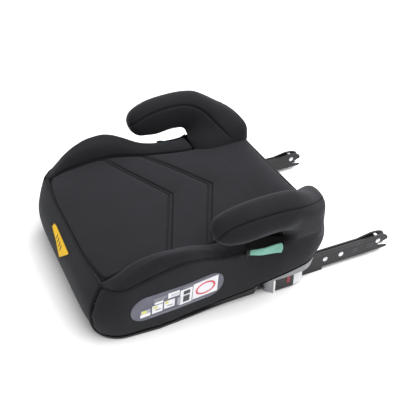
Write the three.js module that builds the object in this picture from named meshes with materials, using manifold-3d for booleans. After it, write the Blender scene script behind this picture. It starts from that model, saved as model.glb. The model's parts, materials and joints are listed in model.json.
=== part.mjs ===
// Backless child booster seat with two rigid anchor arms.
// Millimetres. +X is the seated child's left, -Y is the front edge of the seat, +Z is up.
// The origin is under the middle of the bounding box, on the surface that the feet rest on.
import * as THREE from 'three';
import { mergeVertices } from 'three/addons/utils/BufferGeometryUtils.js';
import Module from 'manifold-3d';

const wasm = await Module();
wasm.setup();

// ---- driving dimensions -------------------------------------------------------------------
const GAP = 0.35; // clearance between neighbouring solids
const FRONT = -254.2; // front face of the padded front panel
const REAR = 121; // back face of the padded body
const TRAY_HALF_WIDTH = 155;
const TRAY_WALL = 4;
const TRAY_BOTTOM = 1.5;
const TRAY_TOP = 60;
const CORNER_RADIUS = 45;
const DECK_THICK = 6;
const DECK_BOTTOM = TRAY_TOP + GAP;
const DECK_TOP = DECK_BOTTOM + DECK_THICK;
const PAD_BOTTOM = DECK_TOP + 1;
const PAD_TOP = 115;
const SKIRT_THICK = 9;

const ARM_SPACING = 280; // anchor bars of a car seat, centre to centre
const ARM_X = ARM_SPACING / 2;
const ARM_THICK = 14;
const PLATE_THICK = 3;
const ARM_TIP = 255.5;
const ARM_FRONT = -58;
const ARM_LOW = 7;
const ARM_HIGH = 31;
const JAW_Z = 16.2; // height of the middle of the jaw's mouth
const JAW_ROOT = 237.5; // where the anchor bar comes to rest against the jaw
const PIVOT = [235, 25.5]; // y, z of the latch pawl's pin
const RIVET_PLACES = [[133.2, 21.5], [163.2, 21.5], PIVOT];

const GRIP_FRONT = 19;
const GRIP_REAR = 88;
const GRIP_TOP = 26;
const RECESS_FRONT = 3;

// ---- materials ----------------------------------------------------------------------------
function material(color, roughness, metalness) {
  return new THREE.MeshStandardMaterial({ color, roughness, metalness });
}
const fabric = () => material(0x35353a, 0.95, 0);
const sideFabric = () => material(0x2b2b30, 0.95, 0);
const blackPlastic = () => material(0x141416, 0.55, 0);
const greyPlastic = () => material(0x7f8083, 0.5, 0);
const silverPlastic = () => material(0xc9cacc, 0.35, 0.3);
const blackSteel = () => material(0x1b1b1d, 0.45, 0.5);
const brightSteel = () => material(0xc4c6c9, 0.3, 0.9);
const rubber = () => material(0x101011, 0.9, 0);

// ---- solids and booleans ------------------------------------------------------------------
function toSolid(geometry) {
  const bare = geometry.clone();
  bare.deleteAttribute('normal');
  bare.deleteAttribute('uv');
  const merged = mergeVertices(bare, 1e-4);
  return new wasm.Manifold(new wasm.Mesh({
    numProp: 3,
    vertProperties: new Float32Array(merged.attributes.position.array),
    triVerts: new Uint32Array(merged.index.array),
  }));
}

function toGeometry(solid) {
  const mesh = solid.getMesh();
  const geometry = new THREE.BufferGeometry();
  geometry.setAttribute('position', new THREE.BufferAttribute(mesh.vertProperties, 3));
  geometry.setIndex(new THREE.BufferAttribute(mesh.triVerts, 1));
  geometry.computeVertexNormals();
  return geometry;
}

// A box given by its two opposite corners.
function block(low, high) {
  const size = high.map((value, i) => value - low[i]);
  const middle = high.map((value, i) => (value + low[i]) / 2);
  return new THREE.BoxGeometry(...size).translate(...middle);
}

// A cylinder along Z.
function barZ(radius, fromZ, toZ, x, y, sides = 16) {
  return new THREE.CylinderGeometry(radius, radius, toZ - fromZ, sides)
    .rotateX(Math.PI / 2)
    .translate(x, y, (fromZ + toZ) / 2);
}

// An outline in Y and Z, extruded along X between two stations. A bevel stays inside both.
function sideExtrude(shape, fromX, toX, bevel = 0, bevelSegments = 3) {
  const options = { depth: toX - fromX - 2 * bevel, bevelEnabled: bevel > 0, curveSegments: 5 };
  options.bevelThickness = bevel;
  options.bevelSize = bevel;
  options.bevelOffset = -bevel;
  options.bevelSegments = bevelSegments;
  const geometry = new THREE.ExtrudeGeometry(shape, options);
  // Shape x and y become world y and z, and the extrusion direction becomes world x.
  geometry.applyMatrix4(new THREE.Matrix4().set(
    0, 0, 1, fromX + bevel,
    1, 0, 0, 0,
    0, 1, 0, 0,
    0, 0, 0, 1,
  ));
  return geometry;
}

// A rounded rectangle in X and Y.
function roundedPlan(halfWidth, front, rear, radius) {
  const shape = new THREE.Shape();
  shape.moveTo(-halfWidth + radius, front);
  shape.absarc(halfWidth - radius, front + radius, radius, -Math.PI / 2, 0, false);
  shape.absarc(halfWidth - radius, rear - radius, radius, 0, Math.PI / 2, false);
  shape.absarc(-halfWidth + radius, rear - radius, radius, Math.PI / 2, Math.PI, false);
  shape.absarc(-halfWidth + radius, front + radius, radius, Math.PI, 1.5 * Math.PI, false);
  return shape;
}

function planExtrude(shape, fromZ, toZ, curveSegments = 6) {
  const options = { depth: toZ - fromZ, bevelEnabled: false, curveSegments };
  return new THREE.ExtrudeGeometry(shape, options).translate(0, 0, fromZ);
}

// A gridded block whose points (u, v, w), each from 0 to 1, are placed by a function.
function shapedBlock(cells, place) {
  const geometry = new THREE.BoxGeometry(1, 1, 1, ...cells).translate(0.5, 0.5, 0.5);
  const points = geometry.attributes.position;
  for (let i = 0; i < points.count; i += 1) {
    points.setXYZ(i, ...place(points.getX(i), points.getY(i), points.getZ(i)));
  }
  return geometry;
}

// Straight-line interpolation through [station, value] pairs.
function through(pairs, at) {
  if (at <= pairs[0][0]) return pairs[0][1];
  for (let i = 1; i < pairs.length; i += 1) {
    const [a, from] = pairs[i - 1];
    const [b, to] = pairs[i];
    if (at <= b) return from + (to - from) * (at - a) / (b - a);
  }
  return pairs[pairs.length - 1][1];
}

const mix = (a, b, t) => a + (b - a) * t;

// The right-hand copy of a solid made for the left-hand (+X) side.
function mirrored(geometry) {
  const scaled = geometry.clone().applyMatrix4(new THREE.Matrix4().makeScale(-1, 1, 1));
  const copy = scaled.index ? scaled : mergeVertices(scaled);
  const turned = Array.from(copy.index.array);
  for (let i = 0; i < turned.length; i += 3) {
    [turned[i + 1], turned[i + 2]] = [turned[i + 2], turned[i + 1]];
  }
  copy.setIndex(turned);
  return copy;
}

const seat = new THREE.Group();

function add(name, geometry, look, position = [0, 0, 0]) {
  const mesh = new THREE.Mesh(geometry, look);
  mesh.name = name;
  mesh.position.set(...position);
  seat.add(mesh);
}

function addPair(name, geometry, look) {
  add(`${name}_left`, geometry, look);
  add(`${name}_right`, mirrored(geometry), look.clone());
}

// ---- the padded body's outer surface --------------------------------------------------------
// Half width of the seat pad along Y.
const PAD_HALF = [[-230, 139], [-139, 145], [-106, 142], [-54, 134], [-3, 122], [34, 118], [121, 114]];
// Half width and height of the skirt's top seam: it crests beside the thighs and dips under the armrest.
const SEAM_HALF = [
  [-200, 177], [-150, 183], [-123, 185], [-90, 181], [-60, 176], [-30, 171], [0, 168], [20, 170],
  [40, 176.5], [60, 179],
];
const SEAM_HEIGHT = [
  [-240, 102], [-215, 105], [-190, 113], [-150, 127], [-123, 131.5], [-90, 123.5], [-60, 113], [-30, 107.5],
  [0, 106], [20, 106], [60, 110], [121, 112],
];
// Height of the skirt's lower edge, which climbs towards the back over the grip and the arm.
const HEM_HEIGHT = [
  [-243, 8], [-205, 7], [-174, 6], [-143, 6], [-127, 9], [-94, 14], [-61, 19], [-10, 26], [24, 35],
  [59, 42], [85, 49], [102, 57], [121, 62],
];
const HEM_HALF = [[-206, 160], [-110, 161], [-60, 163], [0, 166], [40, 169], [79, 170]];
const REAR_TURN = 45; // radius of the body's rear corners at the height of the seam
const HEM_PATH = {
  half: (y) => through(HEM_HALF, y),
  front: -251,
  rear: 115,
  radius: CORNER_RADIUS,
  rearRadius: 36,
  start: 0.45, // where the front corner begins, in radians from straight ahead
  end: 1.1, // where the rear corner ends, in radians from straight sideways
};
const SEAM_PATH = {
  half: (y) => through(SEAM_HALF, y),
  front: -240,
  rear: REAR,
  radius: 40,
  rearRadius: REAR_TURN,
  start: 0.28,
  end: 1.5,
};
const CORNER_SHARE = 0.3; // share of the path that each rounded corner takes

// A point of the body's left side in plan: front corner, side, then rear corner, moved in by inset.
function sidePath(path, along, inset) {
  const { half, front, rear, radius, rearRadius, start, end } = path;
  const reach = radius - inset;
  const rearReach = rearRadius - inset;
  const straightFrom = front + radius;
  const straightTo = rear - rearRadius;
  if (along < CORNER_SHARE) {
    const turn = mix(start, Math.PI / 2, along / CORNER_SHARE);
    return [half(straightFrom) - radius + reach * Math.sin(turn), straightFrom - reach * Math.cos(turn)];
  }
  if (along > 1 - CORNER_SHARE) {
    const turn = mix(0, end, (along - 1 + CORNER_SHARE) / CORNER_SHARE);
    const centreX = half(straightTo) - rearRadius;
    return [centreX + rearReach * Math.cos(turn), straightTo + rearReach * Math.sin(turn)];
  }
  const y = mix(straightFrom, straightTo, (along - CORNER_SHARE) / (1 - 2 * CORNER_SHARE));
  return [half(y) - inset, y];
}

function sideSurface(along, up, inset) {
  const [hemX, hemY] = sidePath(HEM_PATH, along, inset);
  const [seamX, seamY] = sidePath(SEAM_PATH, along, inset);
  const z = mix(through(HEM_HEIGHT, hemY), through(SEAM_HEIGHT, seamY), up);
  return [mix(hemX, seamX, up), mix(hemY, seamY, up), z];
}

// Outer x of the skirt on the straight stretch of the side, at a place given by y and z.
function skirtX(y, z) {
  const hem = through(HEM_HEIGHT, y);
  const up = (z - hem) / (through(SEAM_HEIGHT, y) - hem);
  return mix(HEM_PATH.half(y), through(SEAM_HALF, y), up);
}

// Inner x of the skirt at any place along the side, with a working margin.
function skirtInside(y, z) {
  const planX = ({ half, front, rear, radius, rearRadius }) => {
    const turn = y > 0 ? rearRadius : radius;
    const over = Math.max(y - (rear - turn), front + turn - y, 0);
    const reach = turn - SKIRT_THICK;
    return half(y) - turn + Math.sqrt(Math.max(0, reach ** 2 - over ** 2));
  };
  const hem = through(HEM_HEIGHT, y);
  const up = (z - hem) / (through(SEAM_HEIGHT, y) - hem);
  return mix(planX(HEM_PATH), planX(SEAM_PATH), Math.min(up, 1)) - 1.5;
}

const HEM_INSET = 4; // the skirt is a thin hem at the bottom and a thick pad at the top
const skirtInset = (up) => mix(HEM_INSET, SKIRT_THICK, Math.min(1, 2 * up));

function sideSkirt() {
  return shapedBlock([1, 22, 4], (u, v, w) => sideSurface(v, w, (1 - u) * skirtInset(w)));
}

// The front panel closes the front between the two skirts.
const FRONT_BULGE_HEIGHT = 0.42; // share of the panel's height where it is fullest
function frontPanel() {
  const low = 6;
  const high = 103.5;
  return shapedBlock([16, 1, 6], (u, v, w) => {
    const side = 2 * u - 1;
    const inset = v * skirtInset(w);
    const [cornerX, cornerY] = sideSurface(0, w, inset);
    const lean = through([[0, -252], [FRONT_BULGE_HEIGHT, FRONT], [1, -242]], w);
    const y = mix(lean + inset, cornerY, Math.abs(side) ** 5);
    return [side * (cornerX - 3 * GAP), y, mix(low, high, w)];
  });
}

function rearPanel() {
  const low = 62;
  const high = 112;
  return shapedBlock([8, 1, 2], (u, v, w) => {
    const side = 2 * u - 1;
    const cornerX = mix(139, 135, w);
    return [side * cornerX, mix(REAR - SKIRT_THICK, REAR, v) - 2 * (1 - w), mix(low, high, w)];
  });
}

const PAD_FRONT = -232.3;
const PAD_REAR = REAR - SKIRT_THICK - 5;
function seatPad() {
  return shapedBlock([10, 10, 1], (u, v, w) => {
    const side = 2 * u - 1;
    const front = PAD_FRONT + 9 * Math.abs(side) ** 3;
    const y = mix(front, PAD_REAR, v);
    const crown = (1 - side ** 4) * (1 - (2 * v - 1) ** 6);
    return [side * through(PAD_HALF, y), y, mix(PAD_BOTTOM, PAD_TOP - 5 + 5 * crown, w)];
  });
}

const BOLSTER_FRONT = -222;
const BOLSTER_REAR = 19;
const BOLSTER_ARCH = [
  [-222, 0], [-195, 14], [-150, 17], [-110, 14], [-80, 8], [-50, 3], [-30, 3.5], [19, 3.5],
];
function thighBolster() {
  return shapedBlock([6, 14, 1], (u, v, w) => {
    const y = mix(BOLSTER_FRONT, BOLSTER_REAR, v);
    const inner = through(PAD_HALF, y) + 2 * GAP;
    const edge = mix(PAD_TOP - 4, through(SEAM_HEIGHT, y) - 1, u ** 1.5);
    const topZ = edge + through(BOLSTER_ARCH, y) * (1 - Math.abs(2 * u - 1) ** 3);
    const z = mix(PAD_BOTTOM, topZ, w);
    return [mix(inner, skirtInside(y, z), u), y, z];
  });
}

// ---- armrests -------------------------------------------------------------------------------
const CORE_THICK = 10;
const CORE_LEAN = 0.25; // outward lean of the core, x per z
const CORE_FOOT_X = 145;
const CORE_ROOM = 0.6;
const HORN_FOOT = 114.5;
const ARMREST_INNER = 151;
const ARMREST_OUTER = 205;
const ARMREST_STATIONS = 6;
const HORN_FALL = 6; // the top falls away towards the outer face
const ARMREST_DRAW = 0.34; // how far the end faces are drawn in towards the spine
const SPINE = [[-50, 157], [-25, 161], [20, 164], [58, 150], [72, HORN_FOOT]];

function hornOutline() {
  const shape = new THREE.Shape();
  shape.moveTo(20, HORN_FOOT);
  shape.lineTo(101, HORN_FOOT);
  shape.quadraticCurveTo(105, 140, 98, 158);
  shape.bezierCurveTo(85, 187, 55, 197, 20, 197);
  shape.bezierCurveTo(-30, 197, -79, 187, -79, 160);
  shape.bezierCurveTo(-79, 135, -66, 125, -48, 127);
  shape.bezierCurveTo(-30, 130, -20, 133, -2, 133);
  shape.quadraticCurveTo(18, 132, 20, HORN_FOOT);
  return shape;
}

function coreOutline(footZ) {
  const shape = new THREE.Shape();
  shape.moveTo(38, footZ);
  shape.lineTo(80, footZ);
  shape.lineTo(90, 125);
  shape.bezierCurveTo(88, 165, 60, 178, 20, 179);
  shape.bezierCurveTo(-20, 180, -62, 176, -64, 156);
  shape.quadraticCurveTo(-60, 142, -40, 144);
  shape.bezierCurveTo(-10, 150, 36, 156, 38, 116);
  shape.lineTo(38, footZ);
  return shape;
}

function leaned(geometry) {
  const lean = new THREE.Matrix4().set(
    1, 0, CORE_LEAN, -CORE_LEAN * PAD_BOTTOM,
    0, 1, 0, 0,
    0, 0, 1, 0,
    0, 0, 0, 1,
  );
  return geometry.applyMatrix4(lean);
}

function armrestCore() {
  return leaned(sideExtrude(coreOutline(PAD_BOTTOM), CORE_FOOT_X, CORE_FOOT_X + CORE_THICK));
}

function nearestOnSpine(y, z) {
  let best = null;
  for (let i = 1; i < SPINE.length; i += 1) {
    const [from, to] = [new THREE.Vector2(...SPINE[i - 1]), new THREE.Vector2(...SPINE[i])];
    const place = new THREE.Vector2(y, z);
    const along = to.clone().sub(from);
    const share = THREE.MathUtils.clamp(place.clone().sub(from).dot(along) / along.lengthSq(), 0, 1);
    const near = from.addScaledVector(along, share);
    if (!best || near.distanceTo(place) < best.distanceTo(place)) best = near;
  }
  return best;
}

// The padded horn: its side view is full in the middle and drawn in towards both faces.
function horn() {
  const options = { depth: 1, steps: ARMREST_STATIONS, bevelEnabled: false, curveSegments: 6 };
  const geometry = new THREE.ExtrudeGeometry(hornOutline(), options);
  const points = geometry.attributes.position;
  for (let i = 0; i < points.count; i += 1) {
    const side = -Math.cos(Math.PI * points.getZ(i));
    const y = points.getX(i);
    const z = points.getY(i);
    const near = nearestOnSpine(y, z);
    const draw = ARMREST_DRAW * Math.abs(side) ** 3;
    const x = mix(ARMREST_INNER, ARMREST_OUTER, (side + 1) / 2);
    const fall = z > near.y ? HORN_FALL * Math.max(0, side) : 0;
    points.setXYZ(i, x, mix(y, near.x, draw), Math.max(HORN_FOOT, mix(z, near.y, draw) - fall));
  }
  return geometry;
}

const CORNER_FROM = REAR - REAR_TURN; // the body's rear corner starts to turn here
const CORNER_X = SEAM_PATH.half(CORNER_FROM) - REAR_TURN; // middle of that turn
const CORNER_LOW = 112.7; // the raised rear corner sits on the skirt and the rear panel
function armrestPad() {
  const root = shapedBlock([3, 4, 2], (u, v, w) => {
    const y = mix(20.5, PAD_REAR, v);
    const z = mix(PAD_BOTTOM, mix(120, 146, u), w);
    return [mix(through(PAD_HALF, y) + 2 * GAP, skirtInside(y, z) - 1, u), y, z];
  });
  const corner = shapedBlock([3, 4, 1], (u, v, w) => {
    const y = mix(60, REAR - 1, v);
    const turn = Math.max(0, y - CORNER_FROM);
    const outer = CORNER_X + Math.sqrt(REAR_TURN ** 2 - turn ** 2);
    const top = mix(121, 151, u ** 0.8) - 5 * v ** 3;
    return [mix(through(PAD_HALF, y) + 2 * GAP, outer, u), y, mix(CORNER_LOW, top, w)];
  });
  const options = { depth: CORE_THICK, curveSegments: 5, bevelSegments: 1 };
  options.bevelThickness = CORE_ROOM;
  options.bevelSize = CORE_ROOM;
  const cavity = new THREE.ExtrudeGeometry(coreOutline(PAD_BOTTOM - 5), options);
  cavity.applyMatrix4(new THREE.Matrix4().set(
    0, 0, 1, CORE_FOOT_X,
    1, 0, 0, 0,
    0, 1, 0, 0,
    0, 0, 0, 1,
  ));
  const body = toSolid(horn()).add(toSolid(root)).add(toSolid(corner));
  return toGeometry(body.subtract(toSolid(leaned(cavity))));
}

// ---- tray and deck --------------------------------------------------------------------------
const SCREW_PLACES = [[95, -190], [95, 60], [-95, -190], [-95, 60]];
const FOOT_PLACES = [[110, -205], [-110, -205], [105, 70], [-105, 70]];
const FOOT_RADIUS = 14;
const FOOT_HIGH = 2.65;
const CHANNEL_HALF = 11.2;
const CHANNEL_TOP = 38.5;
const CHANNEL_FRONT = -170;

const FLOOR_HALF = 152.5; // the tray is a little narrower at its very bottom
const FLOOR_STEP = 7;
const LIP_TOP = 4.6;
const LIP_SIDE = [[161.5, -160], [158, -109], [154, -65], [FLOOR_HALF, -29], [FLOOR_HALF, 67]];

const LIP_FRONT = -249.5;
const LIP_STRAIGHT = 114; // half width of the lip's straight front
const LIP_REAR = 112; // half width at the back
const TRAY_FRONT = -238;
const TRAY_REAR = 108;
const TRAY_RADIUS = 41;
const TRAY_FLOOR_TOP = 6;
const BOSS_RADIUS = 8;
const PILOT_RADIUS = 2.4;
const RAIL_BRIDGES = [-150, 66]; // front faces of the bridges that carry each guide rail
const BRIDGE_LONG = 8;
const BRIDGE_TOP = 47;
const BRIDGE_INNER = 118;
const POST_THICK = 9;

// Plan of the lip round the tray's foot, wide at the front and flush towards the rear.
function lipPlan() {
  const shape = new THREE.Shape();
  shape.moveTo(0, LIP_FRONT);
  shape.lineTo(LIP_STRAIGHT, LIP_FRONT);
  shape.absarc(LIP_STRAIGHT, LIP_FRONT + CORNER_RADIUS, CORNER_RADIUS, -Math.PI / 2, 0, false);
  LIP_SIDE.forEach(([x, y]) => shape.lineTo(x, y));
  shape.lineTo(LIP_REAR, TRAY_REAR);
  shape.lineTo(-LIP_REAR, TRAY_REAR);
  [...LIP_SIDE].reverse().forEach(([x, y]) => shape.lineTo(-x, y));
  shape.absarc(-LIP_STRAIGHT, LIP_FRONT + CORNER_RADIUS, CORNER_RADIUS, Math.PI, 1.5 * Math.PI, false);
  return shape;
}

function tray() {
  const plan = (half, wall) => (
    roundedPlan(half - wall, TRAY_FRONT + wall, TRAY_REAR - wall, TRAY_RADIUS - wall)
  );
  let body = toSolid(planExtrude(plan(TRAY_HALF_WIDTH, 0), FLOOR_STEP, TRAY_TOP));
  body = body.add(toSolid(planExtrude(plan(FLOOR_HALF, 0), TRAY_BOTTOM, FLOOR_STEP + 0.5)));
  body = body.add(toSolid(planExtrude(lipPlan(), TRAY_BOTTOM, LIP_TOP)));
  const inner = planExtrude(plan(TRAY_HALF_WIDTH, TRAY_WALL), TRAY_FLOOR_TOP, TRAY_TOP + 1);
  body = body.subtract(toSolid(inner));
  for (const [x, y] of SCREW_PLACES) {
    body = body.add(toSolid(barZ(BOSS_RADIUS, TRAY_FLOOR_TOP - 1, TRAY_TOP, x, y)));
    body = body.subtract(toSolid(barZ(PILOT_RADIUS, 30, TRAY_TOP + 1, x, y, 12)));
  }
  for (const [x, y] of FOOT_PLACES) {
    body = body.subtract(toSolid(barZ(FOOT_RADIUS + GAP, 0, FOOT_HIGH + GAP, x, y, 20)));
  }
  for (const side of [1, -1]) {
    const spread = (low, high) => (side > 0 ? block(low, high) : mirrored(block(low, high)));
    for (const y of RAIL_BRIDGES) {
      const far = [FLOOR_HALF - 0.5, y + BRIDGE_LONG, BRIDGE_TOP];
      const bridge = spread([BRIDGE_INNER, y, CHANNEL_TOP], far);
      const postFar = [BRIDGE_INNER + POST_THICK, y + BRIDGE_LONG, BRIDGE_TOP];
      const post = spread([BRIDGE_INNER, y, TRAY_FLOOR_TOP - 1], postFar);
      body = body.add(toSolid(bridge)).add(toSolid(post));
    }
    const from = ARM_X - CHANNEL_HALF;
    const channel = spread([from, CHANNEL_FRONT, 0], [ARM_X + CHANNEL_HALF, 130, CHANNEL_TOP]);
    const recess = spread([from, RECESS_FRONT, 0], [200, 130, GRIP_TOP + 0.8]);
    body = body.subtract(toSolid(channel)).subtract(toSolid(recess));
  }
  return toGeometry(body);
}

function deck() {
  let plate = toSolid(planExtrude(roundedPlan(153.5, -230, 104, 40), DECK_BOTTOM, DECK_TOP));
  for (const [x, y] of SCREW_PLACES) {
    plate = plate.subtract(toSolid(barZ(PILOT_RADIUS, DECK_BOTTOM - 1, DECK_TOP + 1, x, y, 12)));
    plate = plate.subtract(toSolid(barZ(5, DECK_TOP - 3, DECK_TOP + 1, x, y, 12)));
  }
  return toGeometry(plate);
}

function screw() {
  const profile = [[0, 34], [2, 34], [2, 63.7], [4.6, 63.7], [4.6, 65.4], [3.4, 66.2], [0, 66.2]];
  const points = profile.map(([r, z]) => new THREE.Vector2(r, z));
  return new THREE.LatheGeometry(points, 12).rotateX(Math.PI / 2);
}

const foot = () => barZ(FOOT_RADIUS, 0, FOOT_HIGH, 0, 0, 20);

// ---- trim, belt guide, label and tag -----------------------------------------------------------
const TRIM_START = 0.44; // along the body's side path
const TRIM_LOW = [
  [-110, 7.5], [-60, 13], [-10, 20], [15, 28.6], [48, 28.6], [77, 31], [92, 36], [99, 45], [106, 53],
  [115, 58],
];
function trimStrip() {
  return shapedBlock([1, 28, 1], (u, v, w) => {
    const inset = mix(HEM_INSET, 1, u);
    const [x, y] = sidePath(HEM_PATH, mix(TRIM_START, 0.94, v), inset);
    return [x, y, mix(through(TRIM_LOW, y), through(HEM_HEIGHT, y) - 3, w)];
  });
}

const GUIDE_LOW = [[-27, 99], [3, 89], [34, 86]];
const GUIDE_HIGH = [[-27, 109], [3, 106], [20, 106.5], [34, 109]];
function beltGuide() {
  return shapedBlock([1, 6, 2], (u, v, w) => {
    const y = mix(-27, 34, v);
    const z = mix(through(GUIDE_LOW, y), through(GUIDE_HIGH, y), w);
    return [skirtX(y, z) + mix(1.5, 4, u), y, z];
  });
}

const LABEL = { from: -202, to: -58, middle: 62, half: 25, thick: 0.8, off: 1 };
function instructionLabel() {
  const length = LABEL.to - LABEL.from;
  return shapedBlock([1, 16, 2], (u, v, w) => {
    const y = mix(LABEL.from, LABEL.to, v);
    const fromEnd = Math.min(v, 1 - v) * length + 2;
    const cap = Math.min(1, fromEnd / LABEL.half);
    const half = LABEL.half * Math.sqrt(1 - (1 - cap) ** 2);
    const z = LABEL.middle + (2 * w - 1) * half;
    return [skirtX(y, z) + LABEL.off + u * LABEL.thick, y, z];
  });
}

const TAG_LEAN = 0.21; // the front panel leans back by this angle above its fullest line
const TAG_PLANE = -264.7;
function frontTag() {
  const shape = new THREE.Shape();
  shape.moveTo(18, 60);
  shape.lineTo(16, 75);
  shape.lineTo(-42, 89);
  shape.lineTo(-53, 82);
  shape.lineTo(-50, 74);
  shape.lineTo(-10, 48);
  const plate = new THREE.ExtrudeGeometry(shape, { depth: 1, bevelEnabled: false });
  return plate.rotateX(Math.PI / 2 - TAG_LEAN).translate(0, TAG_PLANE, 0);
}

// ---- anchor arms --------------------------------------------------------------------------------
const PIN_RADIUS = 2.8;
const ARM_INNER = ARM_X - ARM_THICK / 2;
const ARM_OUTER = ARM_X + ARM_THICK / 2;
const ROOT_FROM = 62; // the arm's tall root runs between these stations
const ROOT_TO = 129.2;
const ROOT_LOW = 1;
const MOUTH_HALF = 3.5; // room for a 6 mm anchor bar

function plateOutline() {
  const shape = new THREE.Shape();
  shape.moveTo(ARM_FRONT, ARM_LOW);
  shape.lineTo(ROOT_FROM, ARM_LOW);
  shape.lineTo(ROOT_FROM + 3, ROOT_LOW);
  shape.lineTo(ROOT_TO, ROOT_LOW);
  shape.lineTo(ROOT_TO, ARM_LOW);
  shape.lineTo(ARM_TIP - 6, ARM_LOW);
  shape.quadraticCurveTo(ARM_TIP, ARM_LOW, ARM_TIP, 10);
  shape.lineTo(JAW_ROOT + 6, JAW_Z - MOUTH_HALF);
  shape.lineTo(JAW_ROOT, JAW_Z - MOUTH_HALF);
  shape.lineTo(JAW_ROOT, JAW_Z + MOUTH_HALF);
  shape.lineTo(JAW_ROOT + 6, JAW_Z + MOUTH_HALF);
  shape.lineTo(ARM_TIP, 23.5);
  shape.quadraticCurveTo(ARM_TIP, 31, ARM_TIP - 6, 32.5);
  shape.quadraticCurveTo(ARM_TIP - 14, 36, 228, 35.5);
  shape.lineTo(203, ARM_HIGH);
  shape.lineTo(ARM_FRONT, ARM_HIGH);
  return shape;
}

function withPinHoles(shape, places) {
  for (const [y, z] of places) {
    const hole = new THREE.Path();
    hole.absarc(y, z, PIN_RADIUS + GAP, 0, 2 * Math.PI, true);
    shape.holes.push(hole);
  }
  return shape;
}

function armPlate(fromX) {
  return sideExtrude(withPinHoles(plateOutline(), RIVET_PLACES), fromX, fromX + PLATE_THICK);
}

const CORE_INNER = ARM_INNER + PLATE_THICK + GAP;
const CORE_OUTER = ARM_OUTER - PLATE_THICK - GAP;
function armCore() {
  const shape = new THREE.Shape();
  shape.moveTo(ARM_FRONT, 8.5);
  shape.lineTo(ROOT_FROM + 1, 8.5);
  shape.lineTo(ROOT_FROM + 4, 2.5);
  shape.lineTo(ROOT_TO - 1, 2.5);
  shape.lineTo(ROOT_TO - 1, 8.5);
  shape.lineTo(215, 8.5);
  shape.lineTo(215, 25);
  shape.lineTo(ARM_FRONT, 25);
  return sideExtrude(withPinHoles(shape, RIVET_PLACES.slice(0, 2)), CORE_INNER, CORE_OUTER);
}

function rivet([y, z]) {
  const headThick = 1.2;
  const out = ARM_OUTER + GAP;
  const inside = ARM_INNER - GAP;
  const profile = [
    [0, inside - headThick], [3.2, inside - headThick], [4.6, inside - 0.5], [4.6, inside],
    [PIN_RADIUS, inside], [PIN_RADIUS, out], [4.6, out], [4.6, out + 0.5], [3.2, out + headThick],
    [0, out + headThick],
  ];
  const points = profile.map(([r, x]) => new THREE.Vector2(r, x));
  return new THREE.LatheGeometry(points, 10).rotateZ(-Math.PI / 2).translate(0, y, z);
}

function latchPawl() {
  const [y, z] = PIVOT;
  const corners = [
    [-3, -4.8], [4, -5.2], [10.8, -7.5], [12.5, -13], [15.2, -11], [15, -5], [10.5, -1], [4.5, 4],
    [1.5, 8.5], [-3.2, 8.5], [-4.4, 3.5],
  ];
  const shape = new THREE.Shape();
  corners.forEach(([dy, dz], i) => (i ? shape.lineTo(y + dy, z + dz) : shape.moveTo(y + dy, z + dz)));
  return sideExtrude(withPinHoles(shape, [PIVOT]), CORE_INNER, CORE_OUTER);
}

const releaseBar = () => block([ARM_X - 2.5, -40, 25.8], [ARM_X + 2.5, 229, 30.2]);

// The guide rail: a full tube in front, which holds the arm's root, and a cap over the rest.
function guideRail() {
  const wall = 2.2;
  const low = ARM_X - CHANNEL_HALF + GAP;
  const high = ARM_X + CHANNEL_HALF - GAP;
  const tubeFront = CHANNEL_FRONT + 2;
  const tubeRear = -45;
  const capRear = 80;
  const room = (front, rear, bottom) => (
    toSolid(block([low + wall, front, bottom], [high - wall, rear, CHANNEL_TOP - GAP - wall]))
  );
  const tube = toSolid(block([low, tubeFront, 3.6], [high, tubeRear, CHANNEL_TOP - GAP]));
  const cap = toSolid(block([low, tubeRear - 1, 28], [high, capRear, CHANNEL_TOP - GAP]));
  const tubeRoom = room(tubeFront - 1, tubeRear + 1, 6);
  const capRoom = room(tubeRear - 2, capRear + 1, 0);
  return toGeometry(tube.add(cap).subtract(tubeRoom).subtract(capRoom));
}

// ---- release grip -------------------------------------------------------------------------------
const GRIP_INNER = ARM_OUTER + 2.2;
const GRIP_OUTER = 163;
const BLOCK_OUTER = 162;
const CAP_LONG = 14;
const REAR_CAP = 66.85;
const STRIPE = [54, 60]; // the indicator's slot along Y
const STRIPE_LOW = 12;

// Each cap is a plan outline, drawn in towards the arm at its free end.
function gripCap(corners, fromZ, toZ) {
  const shape = new THREE.Shape();
  corners.forEach(([x, y], i) => (i ? shape.lineTo(x, y) : shape.moveTo(x, y)));
  return planExtrude(shape, fromZ, toZ);
}

function gripFrontCap() {
  const rear = GRIP_FRONT + CAP_LONG;
  return gripCap([
    [GRIP_INNER, rear], [GRIP_INNER, GRIP_FRONT], [153, GRIP_FRONT + 1], [158, GRIP_FRONT + 5],
    [162.5, rear - 3], [GRIP_OUTER, rear],
  ], 1.2, GRIP_TOP - 0.8);
}

function gripRearCap() {
  return gripCap([
    [GRIP_INNER, REAR_CAP], [161.5, REAR_CAP], [161, REAR_CAP + 9], [158.5, REAR_CAP + 15.5],
    [153.5, GRIP_REAR - 0.5], [GRIP_INNER, GRIP_REAR],
  ], 3.5, GRIP_TOP - 1.4);
}

function gripBlock() {
  const front = GRIP_FRONT + CAP_LONG + GAP;
  const rear = REAR_CAP - GAP;
  const body = toSolid(block([GRIP_INNER, front, 3], [BLOCK_OUTER, rear, GRIP_TOP - 0.6]));
  const grooveLow = STRIPE_LOW - GAP;
  const groove = toSolid(block([BLOCK_OUTER - 2, STRIPE[0], grooveLow], [BLOCK_OUTER + 1, STRIPE[1], 40]));
  return toGeometry(body.subtract(groove));
}

function gripStripe() {
  const inside = BLOCK_OUTER - 2 + GAP;
  const high = [BLOCK_OUTER + 0.3, STRIPE[1] - GAP, GRIP_TOP - 1.6];
  return block([inside, STRIPE[0] + GAP, STRIPE_LOW], high);
}

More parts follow.
